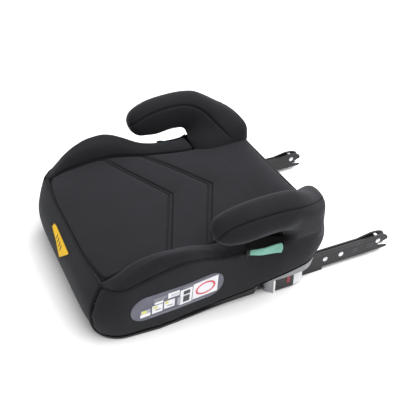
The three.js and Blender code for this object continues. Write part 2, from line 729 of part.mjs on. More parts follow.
function gripSpring() {
  const turns = 5;
  const radius = 3;
  const from = RECESS_FRONT + 1;
  const length = GRIP_FRONT - 1 - from;
  const middle = [155, 14];
  class Helix extends THREE.Curve {
    getPoint(t, target = new THREE.Vector3()) {
      const angle = 2 * Math.PI * turns * t;
      const [x, z] = middle;
      return target.set(x + radius * Math.cos(angle), from + length * t, z + radius * Math.sin(angle));
    }
  }
  const wire = new THREE.Shape();
  wire.absarc(0, 0, 0.6, 0, 2 * Math.PI, false);
  const options = { steps: 45, curveSegments: 2, bevelEnabled: false, extrudePath: new Helix() };
  return new THREE.ExtrudeGeometry(wire, options);
}

// ---- the whole seat -------------------------------------------------------------------------------
add('base_tray', tray(), blackPlastic());
add('seat_deck', deck(), blackPlastic());
SCREW_PLACES.forEach(([x, y], i) => add(`deck_screw_${i + 1}`, screw(), brightSteel(), [x, y, 0]));
FOOT_PLACES.forEach(([x, y], i) => add(`base_foot_${i + 1}`, foot(), rubber(), [x, y, 0]));
add('seat_pad', seatPad(), fabric());
add('front_panel', frontPanel(), sideFabric());
add('rear_panel', rearPanel(), sideFabric());
addPair('side_skirt', sideSkirt(), sideFabric());
addPair('thigh_bolster', thighBolster(), fabric());
addPair('armrest_core', armrestCore(), blackPlastic());
addPair('armrest_pad', armrestPad(), fabric());
addPair('trim_strip', trimStrip(), greyPlastic());
addPair('belt_guide', beltGuide(), material(0x78b49f, 0.7, 0));
add('instruction_label', instructionLabel(), material(0x9a9ba6, 0.4, 0));
add('front_tag', frontTag(), material(0xe6c94a, 0.6, 0));

addPair('guide_rail', guideRail(), blackSteel());
addPair('arm_outer_plate', armPlate(ARM_OUTER - PLATE_THICK), blackSteel());
addPair('arm_inner_plate', armPlate(ARM_INNER), blackSteel());
addPair('arm_core', armCore(), blackPlastic());
RIVET_PLACES.slice(0, 2).forEach((place, i) => addPair(`arm_rivet_${i + 1}`, rivet(place), brightSteel()));
addPair('latch_pin', rivet(PIVOT), brightSteel());
addPair('latch_pawl', latchPawl(), brightSteel());
addPair('release_bar', releaseBar(), brightSteel());

addPair('grip_block', gripBlock(), blackPlastic());
addPair('grip_front_cap', gripFrontCap(), silverPlastic());
addPair('grip_rear_cap', gripRearCap(), silverPlastic());
addPair('grip_indicator', gripStripe(), material(0x8a2b35, 0.5, 0));
addPair('grip_spring', gripSpring(), blackSteel());

export default seat;
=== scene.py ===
import json
import math

import bmesh
import bpy
import numpy as np
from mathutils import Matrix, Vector
from mathutils.bvhtree import BVHTree
from mathutils.kdtree import KDTree

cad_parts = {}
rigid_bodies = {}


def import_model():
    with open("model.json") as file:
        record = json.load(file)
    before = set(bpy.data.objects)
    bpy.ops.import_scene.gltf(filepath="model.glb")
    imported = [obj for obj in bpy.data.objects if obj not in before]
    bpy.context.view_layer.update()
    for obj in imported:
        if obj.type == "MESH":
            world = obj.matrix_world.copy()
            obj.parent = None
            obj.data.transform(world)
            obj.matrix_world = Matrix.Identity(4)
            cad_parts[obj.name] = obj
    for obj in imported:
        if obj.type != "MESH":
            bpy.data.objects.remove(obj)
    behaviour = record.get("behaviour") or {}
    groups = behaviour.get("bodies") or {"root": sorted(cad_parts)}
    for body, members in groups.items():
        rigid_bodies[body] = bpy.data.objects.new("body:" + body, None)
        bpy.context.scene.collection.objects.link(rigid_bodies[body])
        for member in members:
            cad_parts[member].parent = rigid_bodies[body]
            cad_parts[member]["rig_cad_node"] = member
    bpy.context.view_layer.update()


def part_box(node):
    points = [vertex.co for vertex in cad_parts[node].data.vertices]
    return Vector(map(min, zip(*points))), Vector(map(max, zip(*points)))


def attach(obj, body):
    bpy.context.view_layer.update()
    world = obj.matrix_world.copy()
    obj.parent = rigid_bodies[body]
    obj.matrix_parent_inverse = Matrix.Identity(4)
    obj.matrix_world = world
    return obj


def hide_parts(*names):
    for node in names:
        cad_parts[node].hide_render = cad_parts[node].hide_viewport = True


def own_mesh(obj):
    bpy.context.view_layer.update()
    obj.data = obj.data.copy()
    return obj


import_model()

MM = 0.001

# ---- measures of the upholstery, in millimetres; the same as the CAD part's ----
REAR = 121
PAD_HALF = [
    (-250, 134), (-230, 139), (-200, 142), (-139, 145), (-106, 142), (-54, 134), (-3, 122), (34, 118),
    (121, 114),
]
SEAM_HALF = [
    (-200, 177), (-150, 183), (-123, 185), (-90, 181), (-60, 176), (-30, 171), (0, 168), (20, 170),
    (40, 175.5), (60, 178.5),
]
SEAM_HEIGHT = [
    (-240, 102), (-215, 105), (-190, 113), (-150, 127), (-123, 131.5), (-90, 123.5), (-60, 113),
    (-30, 107.5), (0, 106), (20, 106), (60, 110), (121, 112),
]
HEM_HEIGHT = [
    (-243, 8), (-205, 7), (-174, 6), (-143, 6), (-127, 9), (-94, 14), (-61, 19), (-10, 26), (24, 35),
    (59, 42), (85, 49), (102, 57), (121, 62),
]
BOLSTER_PEAK = [
    (-236, 103), (-225, 106), (-210, 116), (-195, 128), (-175, 137.5), (-150, 142.5), (-130, 142),
    (-110, 138.5), (-90, 130.5), (-70, 120.5), (-50, 114.5), (-30, 113.5), (0, 113.5), (22, 113.5),
]
SKIRT_THICK = 9
HEM_INSET = 4
CORNER_SHARE = 0.3
HEM_HALF = [(-206, 160), (-110, 161), (-60, 163), (0, 166), (40, 169), (79, 170)]
# plan lines of the body: half width, ends, corner radii and how far each corner turns, in radians
HEM_PATH = dict(half=HEM_HALF, front=-251, rear=115, radius=45, rear_radius=36, start=0.45, end=1.5)
SEAM_PATH = dict(half=SEAM_HALF, front=-240, rear=REAR, radius=40, rear_radius=45, start=0.28, end=1.5)
CORNER_BELLY = 8.0
SIDE_BELLY = 2.5
REAR_BELLY = 4.0
FRONT_BELLY = 5.0
BELLY_POWER = 0.85


def curve(table, t):
    """A smooth curve through the table's points: a monotone cubic, flat outside the table."""
    xs = np.array([p[0] for p in table], float)
    ys = np.array([p[1] for p in table], float)
    t = np.clip(np.asarray(t, float), xs[0], xs[-1])
    step = np.diff(xs)
    slope = np.diff(ys) / step
    tangent = np.zeros_like(ys)
    same = slope[:-1] * slope[1:] > 0
    tangent[1:-1][same] = 2 * slope[:-1][same] * slope[1:][same] / (slope[:-1] + slope[1:])[same]
    tangent[0], tangent[-1] = slope[0], slope[-1]
    i = np.clip(np.searchsorted(xs, t, side="right") - 1, 0, len(step) - 1)
    s = (t - xs[i]) / step[i]
    h = step[i]
    return (
        ys[i] * (1 + 2 * s) * (1 - s) ** 2 + tangent[i] * h * s * (1 - s) ** 2
        + ys[i + 1] * s * s * (3 - 2 * s) + tangent[i + 1] * h * s * s * (s - 1)
    )


def mix(a, b, t):
    return a + (b - a) * t


def smooth_step(t):
    t = np.clip(t, 0, 1)
    return t * t * (3 - 2 * t)


def side_path(path, along, inset):
    """A point of the body's left side in plan, from front to rear corner, and its outward direction."""
    along = np.asarray(along, float)
    reach = path["radius"] - inset
    rear_reach = path["rear_radius"] - inset
    straight_from = path["front"] + path["radius"]
    straight_to = path["rear"] - path["rear_radius"]
    turn = mix(path["start"], math.pi / 2, along / CORNER_SHARE)
    centre_x = curve(path["half"], np.full_like(along, straight_from)) - path["radius"]
    first_x, first_y = centre_x + reach * np.sin(turn), straight_from - reach * np.cos(turn)
    bend = mix(0, path["end"], (along - 1 + CORNER_SHARE) / CORNER_SHARE)
    centre_x = curve(path["half"], np.full_like(along, straight_to)) - path["rear_radius"]
    last_x, last_y = centre_x + rear_reach * np.cos(bend), straight_to + rear_reach * np.sin(bend)
    y = mix(straight_from, straight_to, (along - CORNER_SHARE) / (1 - 2 * CORNER_SHARE))
    x = curve(path["half"], y) - inset
    first, last = along < CORNER_SHARE, along > 1 - CORNER_SHARE
    out_x = np.where(first, np.sin(turn), np.where(last, np.cos(bend), 1.0))
    out_y = np.where(first, -np.cos(turn), np.where(last, np.sin(bend), 0.0))
    return (
        np.where(first, first_x, np.where(last, last_x, x)),
        np.where(first, first_y, np.where(last, last_y, y)), out_x, out_y,
    )


def side_surface(along, up, inset, share=1.0):
    """The skirt's surface: along the side, up from the hem to the seam, moved in by inset."""
    hem_x, hem_y, hem_out_x, hem_out_y = side_path(HEM_PATH, along, inset)
    seam_x, seam_y, seam_out_x, seam_out_y = side_path(SEAM_PATH, along, inset)
    z = mix(curve(HEM_HEIGHT, hem_y), curve(SEAM_HEIGHT, seam_y), up)
    along = np.asarray(along)
    swell = np.sin(np.pi * np.clip(up, 0, 1) ** BELLY_POWER) * share
    corner = smooth_step(1 - along / 0.36)
    rear_part = smooth_step((along - 0.72) / 0.2)
    belly = (SIDE_BELLY + (CORNER_BELLY - SIDE_BELLY) * corner + REAR_BELLY * rear_part) * swell
    forward = FRONT_BELLY * smooth_step(1 - along / 0.2) * swell
    out_x, out_y = mix(hem_out_x, seam_out_x, up), mix(hem_out_y, seam_out_y, up)
    return np.stack([
        mix(hem_x, seam_x, up) + belly * out_x, mix(hem_y, seam_y, up) + belly * out_y - forward, z,
    ], -1)


def skirt_x(y, z):
    """Outer x of the skirt on the straight stretch of the side."""
    hem = curve(HEM_HEIGHT, y)
    up = np.clip((z - hem) / (curve(SEAM_HEIGHT, y) - hem), 0, 1)
    belly = SIDE_BELLY * np.sin(np.pi * up ** BELLY_POWER)
    return mix(curve(HEM_HALF, y), curve(SEAM_HALF, y), up) + belly


# ---- building meshes ----
def make(name, points, faces, smooth=True):
    """A mesh object from points in millimetres."""
    mesh = bpy.data.meshes.new(name)
    mesh.from_pydata((np.asarray(points, float) * MM).tolist(), [], faces)
    mesh.validate()
    whole = bmesh.new()
    whole.from_mesh(mesh)
    bmesh.ops.recalc_face_normals(whole, faces=whole.faces)
    whole.to_mesh(mesh)
    whole.free()
    mesh.polygons.foreach_set("use_smooth", [smooth] * len(mesh.polygons))
    obj = bpy.data.objects.new(name, mesh)
    bpy.context.scene.collection.objects.link(obj)
    return obj


def points_of(obj):
    co = np.zeros(len(obj.data.vertices) * 3)
    obj.data.vertices.foreach_get("co", co)
    return co.reshape(-1, 3) / MM


def set_points(obj, points):
    obj.data.vertices.foreach_set("co", (np.asarray(points) * MM).ravel())
    obj.data.update()


def normals_of(obj):
    n = np.zeros(len(obj.data.vertices) * 3)
    obj.data.vertices.foreach_get("normal", n)
    return n.reshape(-1, 3)


def grid_faces(nu, nv, start=0):
    """Quads of a grid of nu by nv points, numbered row by row."""
    first = [start + i * nv + j for i in range(nu - 1) for j in range(nv - 1)]
    return [(a, a + nv, a + nv + 1, a + 1) for a in first]


def rod_faces(rings, around, start=0):
    """Faces of a rod of closed rings, numbered ring by ring, with both ends closed."""
    faces = []
    for a in range(start, start + (rings - 1) * around, around):
        for k in range(around):
            n = (k + 1) % around
            faces.append((a + k, a + around + k, a + around + n, a + n))
    last = start + (rings - 1) * around
    return faces + [tuple(range(start, start + around)), tuple(reversed(range(last, last + around)))]


def shaped_block(name, cells, place):
    """A closed block of cells whose corners place() puts anywhere: place(u, v, w) with arrays."""
    index, points, faces = {}, [], []
    nu, nv, nw = cells

    def at(i, j, k):
        key = (i, j, k)
        if key not in index:
            index[key] = len(points)
            points.append((i / nu, j / nv, k / nw))
        return index[key]

    # each pair of opposite walls: its two counts, its ends and how a wall's corner maps to i, j, k
    for na, nb, ends, key in (
        (nu, nv, ((0, True), (nw, False)), lambda a, b, c: (a, b, c)),
        (nu, nw, ((0, False), (nv, True)), lambda a, b, c: (a, c, b)),
        (nv, nw, ((0, True), (nu, False)), lambda a, b, c: (c, a, b)),
    ):
        for c, flip in ends:
            for a in range(na):
                for b in range(nb):
                    corners = ((a, b), (a + 1, b), (a + 1, b + 1), (a, b + 1))
                    quad = tuple(at(*key(*q, c)) for q in corners)
                    faces.append(quad[::-1] if flip else quad)
    uvw = np.array(points)
    return make(name, place(uvw[:, 0], uvw[:, 1], uvw[:, 2]), faces)


def apply_modifiers(obj):
    """Replaces the mesh by its evaluated copy."""
    dg = bpy.context.evaluated_depsgraph_get()
    done = bpy.data.meshes.new_from_object(obj.evaluated_get(dg))
    obj.modifiers.clear()
    old = obj.data
    obj.data = done
    bpy.data.meshes.remove(old)
    obj.data.name = obj.name
    obj.data.polygons.foreach_set("use_smooth", [True] * len(obj.data.polygons))


def gathered(objs):
    """The points and faces of several pieces as one list each."""
    points, faces = [], []
    for o in objs:
        base = len(points)
        points.extend(points_of(o).tolist())
        faces.extend([tuple(base + v for v in p.vertices) for p in o.data.polygons])
    return points, faces


def merged(name, objs):
    """One object holding the meshes of several."""
    points, faces = gathered(objs)
    for o in objs:
        bpy.data.objects.remove(o)
    return make(name, points, faces)


def remesh(obj, voxel):
    mod = obj.modifiers.new("remesh", "REMESH")
    mod.mode = "VOXEL"
    mod.voxel_size = voxel * MM
    mod.adaptivity = 0
    apply_modifiers(obj)


def relax(obj, rounds, where=None):
    """Smooths the piece, only where the weights say so if they are given."""
    mod = obj.modifiers.new("relax", "SMOOTH")
    mod.iterations = rounds
    mod.factor = 0.5
    if where is not None:
        group = obj.vertex_groups.new(name="where")
        weight = where(points_of(obj))
        for i in np.nonzero(weight > 0.01)[0]:
            group.add([int(i)], float(weight[i]), "REPLACE")
        mod.vertex_group = "where"
    apply_modifiers(obj)
    obj.vertex_groups.clear()


def subdivide(obj, levels=1):
    mod = obj.modifiers.new("subdivide", "SUBSURF")
    mod.levels = levels
    mod.render_levels = levels
    apply_modifiers(obj)


def puff(obj, pressure, cap, hold=None):
    """Inflates the piece as cloth over foam for 20 frames and keeps at most cap millimetres of it."""
    before = points_of(obj)
    group = obj.vertex_groups.new(name="hold")
    weight = np.zeros(len(before)) if hold is None else np.clip(hold(before), 0, 1)
    for i in np.nonzero(weight > 0.01)[0]:
        group.add([int(i)], float(weight[i]), "REPLACE")
    mod = obj.modifiers.new("cloth", "CLOTH")
    s = mod.settings
    s.quality = 6
    s.mass = 0.3
    s.tension_stiffness = s.compression_stiffness = 18
    s.shear_stiffness = 8
    s.bending_stiffness = 0.6
    s.use_pressure = True
    s.uniform_pressure_force = pressure
    s.vertex_group_mass = "hold"
    s.pin_stiffness = 1
    s.effector_weights.gravity = 0
    mod.point_cache.frame_start, mod.point_cache.frame_end = 1, 20
    scene = bpy.context.scene
    for f in range(1, 21):
        scene.frame_set(f)
    dg = bpy.context.evaluated_depsgraph_get()
    after = points_of_evaluated(obj, dg)
    obj.modifiers.clear()
    obj.vertex_groups.clear()
    scene.frame_set(1)
    move = np.nan_to_num(after - before)
    far = np.linalg.norm(move, axis=1, keepdims=True)
    move *= np.minimum(1, cap / np.maximum(far, 1e-6))
    set_points(obj, before + move)
    print(f"puffed {obj.name} by up to {far.max():.2f} mm, middle {np.median(far):.2f}")


def points_of_evaluated(obj, dg):
    mesh = obj.evaluated_get(dg).to_mesh()
    co = np.zeros(len(mesh.vertices) * 3)
    mesh.vertices.foreach_get("co", co)
    obj.evaluated_get(dg).to_mesh_clear()
    return co.reshape(-1, 3) / MM


def polyline(points, step=1.5):
    """Points at an even step along a smooth line through the given ones."""
    p = np.asarray(points, float)
    far = np.r_[0, np.cumsum(np.linalg.norm(np.diff(p, axis=0), axis=1))]
    n = max(2, int(far[-1] / step) + 1)
    t = np.linspace(0, far[-1], n)
    return np.stack([curve(list(zip(far, p[:, k])), t) for k in range(3)], -1)


def surface_of(*objs):
    """A search tree over the pieces' surfaces, in millimetres."""
    return BVHTree.FromPolygons(*gathered(objs))


def onto(tree, line, lift=0.0):
    """The line's points moved to the nearest place on the surface, lifted along its normal."""
    found = [tree.find_nearest(Vector(p)) for p in line]
    points = np.array([list(q + n * lift) for q, n, _, _ in found])
    return points, np.array([list(n) for _, n, _, _ in found])


def cast(tree, starts, direction, lift=0.0):
    """Where rays from the starts first meet the surface, lifted along its normal."""
    out = []
    for p in starts:
        q, n, _, _ = tree.ray_cast(Vector(p), Vector(direction))
        if q is None:
            q, n, _, _ = tree.find_nearest(Vector(p))
        if n.dot(Vector(direction)) > 0:
            n = -n
        out.append(list(q + n * lift))
    return np.array(out)


def distance_to(points, line):
    """Distance from each point to the nearest of the line's points."""
    tree = KDTree(len(line))
    for i, q in enumerate(line):
        tree.insert(q, i)
    tree.balance()
    return np.array([tree.find(p)[2] for p in points])


def settled(tree, line):
    """The line laid on the surface and evened out, with the surface's directions along it."""
    points, normals = onto(tree, line)
    for rounds in (24, 8):
        for _ in range(rounds):
            for values in (points, normals):
                values[1:-1] = (values[:-2] + 2 * values[1:-1] + values[2:]) / 4
        if rounds == 24:
            points, _ = onto(tree, points)
    return points, normals / np.linalg.norm(normals, axis=1)[:, None]


def carve(obj, line, depth, width):
    """Presses a seam into the piece along the line."""
    line, _ = settled(surface_of(obj), line)
    points = points_of(obj)
    lo, hi = line.min(0) - 4 * width, line.max(0) + 4 * width
    near = np.all((points > lo) & (points < hi), axis=1)
    ids = np.nonzero(near)[0]
    d = distance_to(points[ids], line)
    drop = depth * np.exp(-((d / width) ** 2))
    points[ids] -= normals_of(obj)[ids] * drop[:, None]
    set_points(obj, points)


# ---- materials ----
def rgb(r, g, b):
    """Linear colour from display values 0 to 255."""
    return [((c / 255 + 0.055) / 1.055) ** 2.4 if c > 10 else c / 255 / 12.92 for c in (r, g, b)] + [1]


class Nodes:
    """Short hand for building a material's node tree."""

    def __init__(self, name):
        self.mat = bpy.data.materials.new(name)
        self.mat.use_nodes = True
        self.tree = self.mat.node_tree
        self.shader = self.tree.nodes["Principled BSDF"]
        self.place = self.add("ShaderNodeTexCoord").outputs["Object"]

    def add(self, kind, **values):
        node = self.tree.nodes.new(kind)
        for key, value in values.items():
            setattr(node, key, value)
        return node

    def link(self, a, b):
        self.tree.links.new(a, b)

    def noise(self, scale, detail=3, rough=0.5, stretch=None):
        node = self.add("ShaderNodeTexNoise")
        node.inputs["Scale"].default_value = scale
        node.inputs["Detail"].default_value = detail
        node.inputs["Roughness"].default_value = rough
        where = self.place
        if stretch:
            mapping = self.add("ShaderNodeMapping")
            mapping.inputs["Scale"].default_value = stretch
            self.link(where, mapping.inputs["Vector"])
            where = mapping.outputs["Vector"]
        self.link(where, node.inputs["Vector"])
        return node.outputs["Fac"]

    def ramp(self, fac, stops):
        node = self.add("ShaderNodeValToRGB")
        while len(node.color_ramp.elements) < len(stops):
            node.color_ramp.elements.new(0.5)
        for element, (at, colour) in zip(node.color_ramp.elements, stops):
            element.position = at
            element.color = colour
        self.link(fac, node.inputs["Fac"])
        return node.outputs["Color"]

    def math(self, operation, a, b):
        node = self.add("ShaderNodeMath", operation=operation)
        for socket, value in zip(node.inputs, (a, b)):
            if isinstance(value, (int, float)):
                socket.default_value = value
            else:
                self.link(value, socket)
        return node.outputs["Value"]

    def bump(self, height, strength, distance):
        node = self.add("ShaderNodeBump")
        node.inputs["Strength"].default_value = strength
        node.inputs["Distance"].default_value = distance
        self.link(height, node.inputs["Height"])
        self.link(node.outputs["Normal"], self.shader.inputs["Normal"])

    def set(self, **values):
        for key, value in values.items():
            self.shader.inputs[key.replace("_", " ")].default_value = value
        return self


def fabric_material(name, dark, light, pitch=1.1, sheen=0.12):
    """Knitted polyester: crossed yarns as relief, heathered colour and a soft sheen."""
    m = Nodes(name)
    yarn = []
    for axis in ("X", "Y", "Z"):
        wave = m.add("ShaderNodeTexWave", wave_type="BANDS", bands_direction=axis, wave_profile="SIN")
        wave.inputs["Scale"].default_value = 0.314 / (pitch * MM)
        wave.inputs["Distortion"].default_value = 0.6
        wave.inputs["Detail"].default_value = 1
        m.link(m.place, wave.inputs["Vector"])
        yarn.append(wave.outputs["Fac"])
    facing = m.add("ShaderNodeSeparateXYZ")
    m.link(m.add("ShaderNodeTexCoord").outputs["Normal"], facing.inputs["Vector"])
    weave = 0.0
    for k, (one, other) in enumerate(((1, 2), (0, 2), (0, 1))):
        share = m.math("POWER", m.math("ABSOLUTE", facing.outputs[k], 0), 2.0)
        weave = m.math("ADD", m.math("MULTIPLY", m.math("MULTIPLY", yarn[one], yarn[other]), share), weave)
    heather = m.noise(900, 2, 0.7)
    patch = m.noise(26, 4, 0.55)
    tone = m.math("ADD", m.math("MULTIPLY", heather, 0.45), m.math("MULTIPLY", patch, 0.35))
    tone = m.math("ADD", tone, m.math("MULTIPLY", weave, 0.12))
    m.link(m.ramp(tone, [(0.25, rgb(*dark)), (0.75, rgb(*light))]), m.shader.inputs["Base Color"])
    relief = m.math("ADD", m.math("MULTIPLY", weave, 0.7), m.math("MULTIPLY", heather, 0.6))
    m.bump(relief, 0.35, 0.0004)
    m.set(Roughness=0.92, Sheen_Weight=sheen, Sheen_Roughness=0.45, Specular_IOR_Level=0.2)
    m.shader.inputs["Sheen Tint"].default_value = rgb(205, 208, 220)
    return m.mat


def plastic_material(name, dark, light, roughness, grain=700, relief=0.12, metallic=0.0, wear=0.1):
    """Moulded plastic or coated metal: fine grain, uneven gloss and slight colour variation."""
    m = Nodes(name)
    patch = m.noise(38, 4, 0.6)
    fine = m.noise(grain, 2, 0.6)
    m.link(m.ramp(patch, [(0.3, rgb(*dark)), (0.72, rgb(*light))]), m.shader.inputs["Base Color"])
    gloss = m.math("ADD", m.math("MULTIPLY", patch, wear), roughness - wear / 2)
    m.link(gloss, m.shader.inputs["Roughness"])
    m.bump(fine, relief, 0.0003)
    m.set(Metallic=metallic)
    return m.mat


PAD_CLOTH = fabric_material("pad_cloth", (18, 18, 21), (30, 30, 34))
SIDE_CLOTH = fabric_material("side_cloth", (17, 17, 19), (28, 28, 31))
# the side cloth painted darker for the front panel: painted shade of the side that faces away from the key
# light
FRONT_CLOTH_PAINTED_SHADE = fabric_material("front_cloth_painted_shade", (13, 13, 15), (23, 23, 25))
# near-black thread; the same colour also serves as painted shade: the hem's shadow line, the belt slot's
# sheet and the seam creases
THREAD_AND_PAINTED_SHADE = fabric_material("thread_and_painted_shade", (7, 7, 8), (14, 14, 16), pitch=0.5, sheen=0.02)
BLACK_PLASTIC = plastic_material("black_plastic_grain", (18, 18, 20), (26, 26, 28), 0.5)
GREY_PLASTIC = plastic_material("grey_plastic_grain", (112, 113, 116), (132, 133, 136), 0.5)
RIM_PLASTIC = plastic_material("rim_plastic_gloss", (214, 215, 217), (232, 233, 235), 0.3, metallic=0.1)
# the grip caps' silver plastic painted darker grey for the front cap: painted shade of the cap that faces
# the front
CAP_PLASTIC_PAINTED_SHADE = plastic_material("cap_plastic_painted_shade", (132, 133, 136), (152, 153, 156), 0.4, metallic=0.2)
SILVER_PLASTIC = plastic_material(
    "silver_plastic_grain", (186, 187, 190), (208, 209, 212), 0.34, metallic=0.25,
)
STEEL_COAT = dict(grain=1400, metallic=0.35)
BLACK_STEEL = plastic_material("black_coated_steel", (20, 20, 22), (33, 33, 36), 0.42, **STEEL_COAT)
EMBOSS_STEEL = plastic_material("embossed_steel", (48, 48, 52), (72, 72, 77), 0.4, **STEEL_COAT)
BRIGHT_STEEL = plastic_material(
    "bright_steel_brushed", (176, 178, 182), (214, 216, 220), 0.26, grain=2200, relief=0.05, metallic=0.9,
)
RUBBER = plastic_material("rubber_matt", (14, 14, 15), (24, 24, 25), 0.85, grain=500, relief=0.3)
GREEN_PLASTIC = plastic_material("green_plastic_grain", (88, 142, 125), (112, 166, 150), 0.55)
RED_PLASTIC = plastic_material("red_plastic_grain", (104, 26, 38), (140, 40, 52), 0.45)
LABEL_BASE = plastic_material("label_film_grey", (72, 72, 86), (88, 88, 102), 0.42, relief=0.04)
LABEL_WHITE, LABEL_DARK, LABEL_PINK, LABEL_YELLOW, LABEL_GREY = [
    plastic_material(f"label_print_{name}", dark, light, 0.45, relief=0.04)
    for name, dark, light in (
        ("white", (208, 208, 212), (226, 226, 230)),
        ("dark", (30, 32, 36), (48, 50, 55)),
        ("pink", (190, 62, 78), (206, 84, 98)),
        ("yellow", (190, 190, 96), (212, 210, 120)),
        ("grey", (138, 140, 150), (164, 166, 174)),
    )
]
TAG_CLOTH = fabric_material("tag_cloth", (222, 176, 28), (244, 200, 46), pitch=0.7, sheen=0.1)
TAG_THREAD = fabric_material("tag_thread", (70, 60, 30), (110, 92, 40), pitch=0.5, sheen=0.1)


def dress(obj, look, body="seat"):
    """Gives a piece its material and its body."""
    obj.data.materials.clear()
    obj.data.materials.append(look)
    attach(obj, body)
    return obj


def mirrored(obj, name):
    """The same piece on the other side."""
    points = points_of(obj)
    points[:, 0] *= -1
    faces = [tuple(reversed(p.vertices)) for p in obj.data.polygons]
    return make(name, points, faces)


# ---- upholstery: side covers with armrests ----
def horn_sections():
    """Stations of the armrest from its tip round to its root.

    Each has the slot-side point and the outer point of its outline as y, z and its two x limits."""
    return np.array([
        (-80.5, 158, -80.5, 160, 166, 172),
        (-78, 148, -78.5, 169, 159, 181),
        (-71.5, 138.5, -73, 178, 154, 188),
        (-58, 130, -59, 185, 151, 195),
        (-37, 129, -36, 191, 149.5, 200),
        (-18, 132.5, -12, 193.5, 149, 202),
        (-2, 134.5, 17, 194.5, 149, 202.5),
        (14, 134.5, 46, 191.5, 147, 202.5),
        (27, 131.5, 69, 180.5, 141, 201.5),
        (36, 125, 89, 168, 129, 199),
        (42, 116, 108, 158, 113, 196),
        (45, 107, 119, 150, 102, 193),
        (46, 96, 123, 138, 96, 189),
        (46, 84, 123, 114, 95, 184),
    ], float)


# how far the belt slot's inner edge leans forward and drops; the furthest y a given x may reach and
# the furthest x a given z may reach where the armrest grows out of the body's rear corner
SLOT_LEAN, SLOT_DROP = 25.0, 5.0
REAR_CORNER = [
    (98, 122.5), (108, 122), (125, 119), (145, 114.5), (160, 109), (170, 104), (180, 98), (187, 91),
    (193, 81), (198, 67),
]
ROOT_FACE = [
    (84, 171), (96, 174), (107, 177.5), (116, 181), (125, 185), (135, 189), (150, 194), (165, 198.5),
    (180, 202), (192, 204),
]


def armrest_body(name):
    stations = horn_sections()
    count = len(stations)
    t = np.linspace(0, count - 1, 56)
    rows = np.stack([curve(list(enumerate(stations[:, k])), t) for k in range(6)], -1)
    around = 44
    turn = np.linspace(0, 2 * math.pi, around, endpoint=False)
    points = []
    for station, (ay, az, by, bz, xi, xo) in zip(t, rows):
        power = 2 / mix(2.4, 3.6, float(smooth_step((station - 7) / 5)))
        square = 2 / mix(2.4, 6.0, float(smooth_step((station - 10) / 2)))
        power = np.where((np.cos(turn) > 0) & (np.sin(turn) < 0) & (station > 10.2), square, power)
        c = np.sign(np.cos(turn)) * np.abs(np.cos(turn)) ** power
        s = np.sign(np.sin(turn)) * np.abs(np.sin(turn)) ** power
        slant = 0.36 * float(smooth_step((11.5 - station) / 3))
        c = np.where(c < 0, c * (1 - slant * np.clip((s + 0.3) / 1.1, 0, 1)), c)
        y = (ay + by) / 2 + c * (by - ay) / 2
        z = (az + bz) / 2 + c * (bz - az) / 2
        x = (xi + xo) / 2 + s * (xo - xi) / 2
        inner_slot = np.clip(-c, 0, 1) * np.clip((0.6 - s) / 1.2, 0, 1)
        y = y - SLOT_LEAN * inner_slot * float(smooth_step((station - 7) / 3))
        mid = float(smooth_step((station - 3) / 2) * smooth_step((11 - station) / 3))
        z = z - SLOT_DROP * inner_slot * mid
        face = np.minimum(x, curve(ROOT_FACE, z))
        x = mix(x, face, float(smooth_step((station - 6.5) / 2)))
        y = np.minimum(y, curve(REAR_CORNER, x))
        fall = 5 * np.clip(s, 0, 1) * np.clip(c, 0, 1)
        points.append(np.stack([x, y, z - fall], -1))
    return make(name, np.concatenate(points), rod_faces(len(rows), around))


def skirt_body(name):
    def place(u, v, w):
        inset = (1 - u) * mix(HEM_INSET, SKIRT_THICK, np.minimum(1, 2 * w))
        return side_surface(v, 1.02 * w, inset, u)

    return shaped_block(name, (3, 90, 30), place)


PRESSURE = 4.0
SIDE_VOXEL = 3.0
side_left = merged("side_cover_left", [skirt_body("skirt"), armrest_body("horn")])
remesh(side_left, SIDE_VOXEL)


def round_root(p):
    """Where the armrest's root grows out of the skirt."""
    high = smooth_step((p[:, 2] - 88) / 14) * smooth_step((165 - p[:, 2]) / 20)
    return smooth_step((p[:, 1] + 5) / 20) * high


relax(side_left, 2)
relax(side_left, 8, round_root)


def hold_side(p):
    """Firm at the hem, the front corner and the rear edge, loose over the armrest and the belly."""
    hem = curve(HEM_HEIGHT, p[:, 1])
    low = np.clip(1 - (p[:, 2] - hem - 6) / 18, 0, 1)
    skirt = 0.9 * smooth_step((118 - p[:, 2]) / 12)
    front = 0.95 * smooth_step((-70 - p[:, 1]) / 20)
    inner = (p[:, 0] < 145) & (p[:, 2] < 116)
    return np.maximum(np.maximum(low, skirt), np.maximum(inner.astype(float), front))


puff(side_left, PRESSURE, 4.0, hold_side)
relax(side_left, 2)
subdivide(side_left)

# seams of the side cover: along the armrest's outer top, along its inner top, up from the corner
OUTER_SEAM = polyline([
    (183, -82, 150), (192, -79, 163), (198, -68, 176), (201, -48, 184), (203, -20, 188.5),
    (203.5, 10, 189.5), (202, 33, 186.5), (197, 50, 181.5), (191, 62, 177), (182, 79, 171.5),
    (172, 92, 165), (163, 99, 157),
])
INNER_SEAM = polyline([
    (166, -84, 152), (156, -76, 160), (151, -64, 168), (149.5, -45, 176.5), (149, -26, 181),
    (148.5, -8, 183.5), (147.5, 11, 184), (144, 30, 181), (139, 46, 173), (132, 60, 159), (124, 75, 138),
    (117, 90, 120), (114, 99, 113),
])
ARM_SEAM_DEPTH, ARM_SEAM_WIDTH, THREAD_SUNK = 2.4, 2.0, 0.5
whole_tree = surface_of(side_left)
arm_seams = {
    "armrest_outer_seam": settled(whole_tree, OUTER_SEAM),
    "armrest_inner_seam": settled(whole_tree, INNER_SEAM),
}
for path, _ in arm_seams.values():
    carve(side_left, path, ARM_SEAM_DEPTH, ARM_SEAM_WIDTH)
side_right = mirrored(side_left, "side_cover_right")
for side, obj in (("left", side_left), ("right", side_right)):
    dress(obj, SIDE_CLOTH)
    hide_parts(f"side_skirt_{side}", f"armrest_pad_{side}")


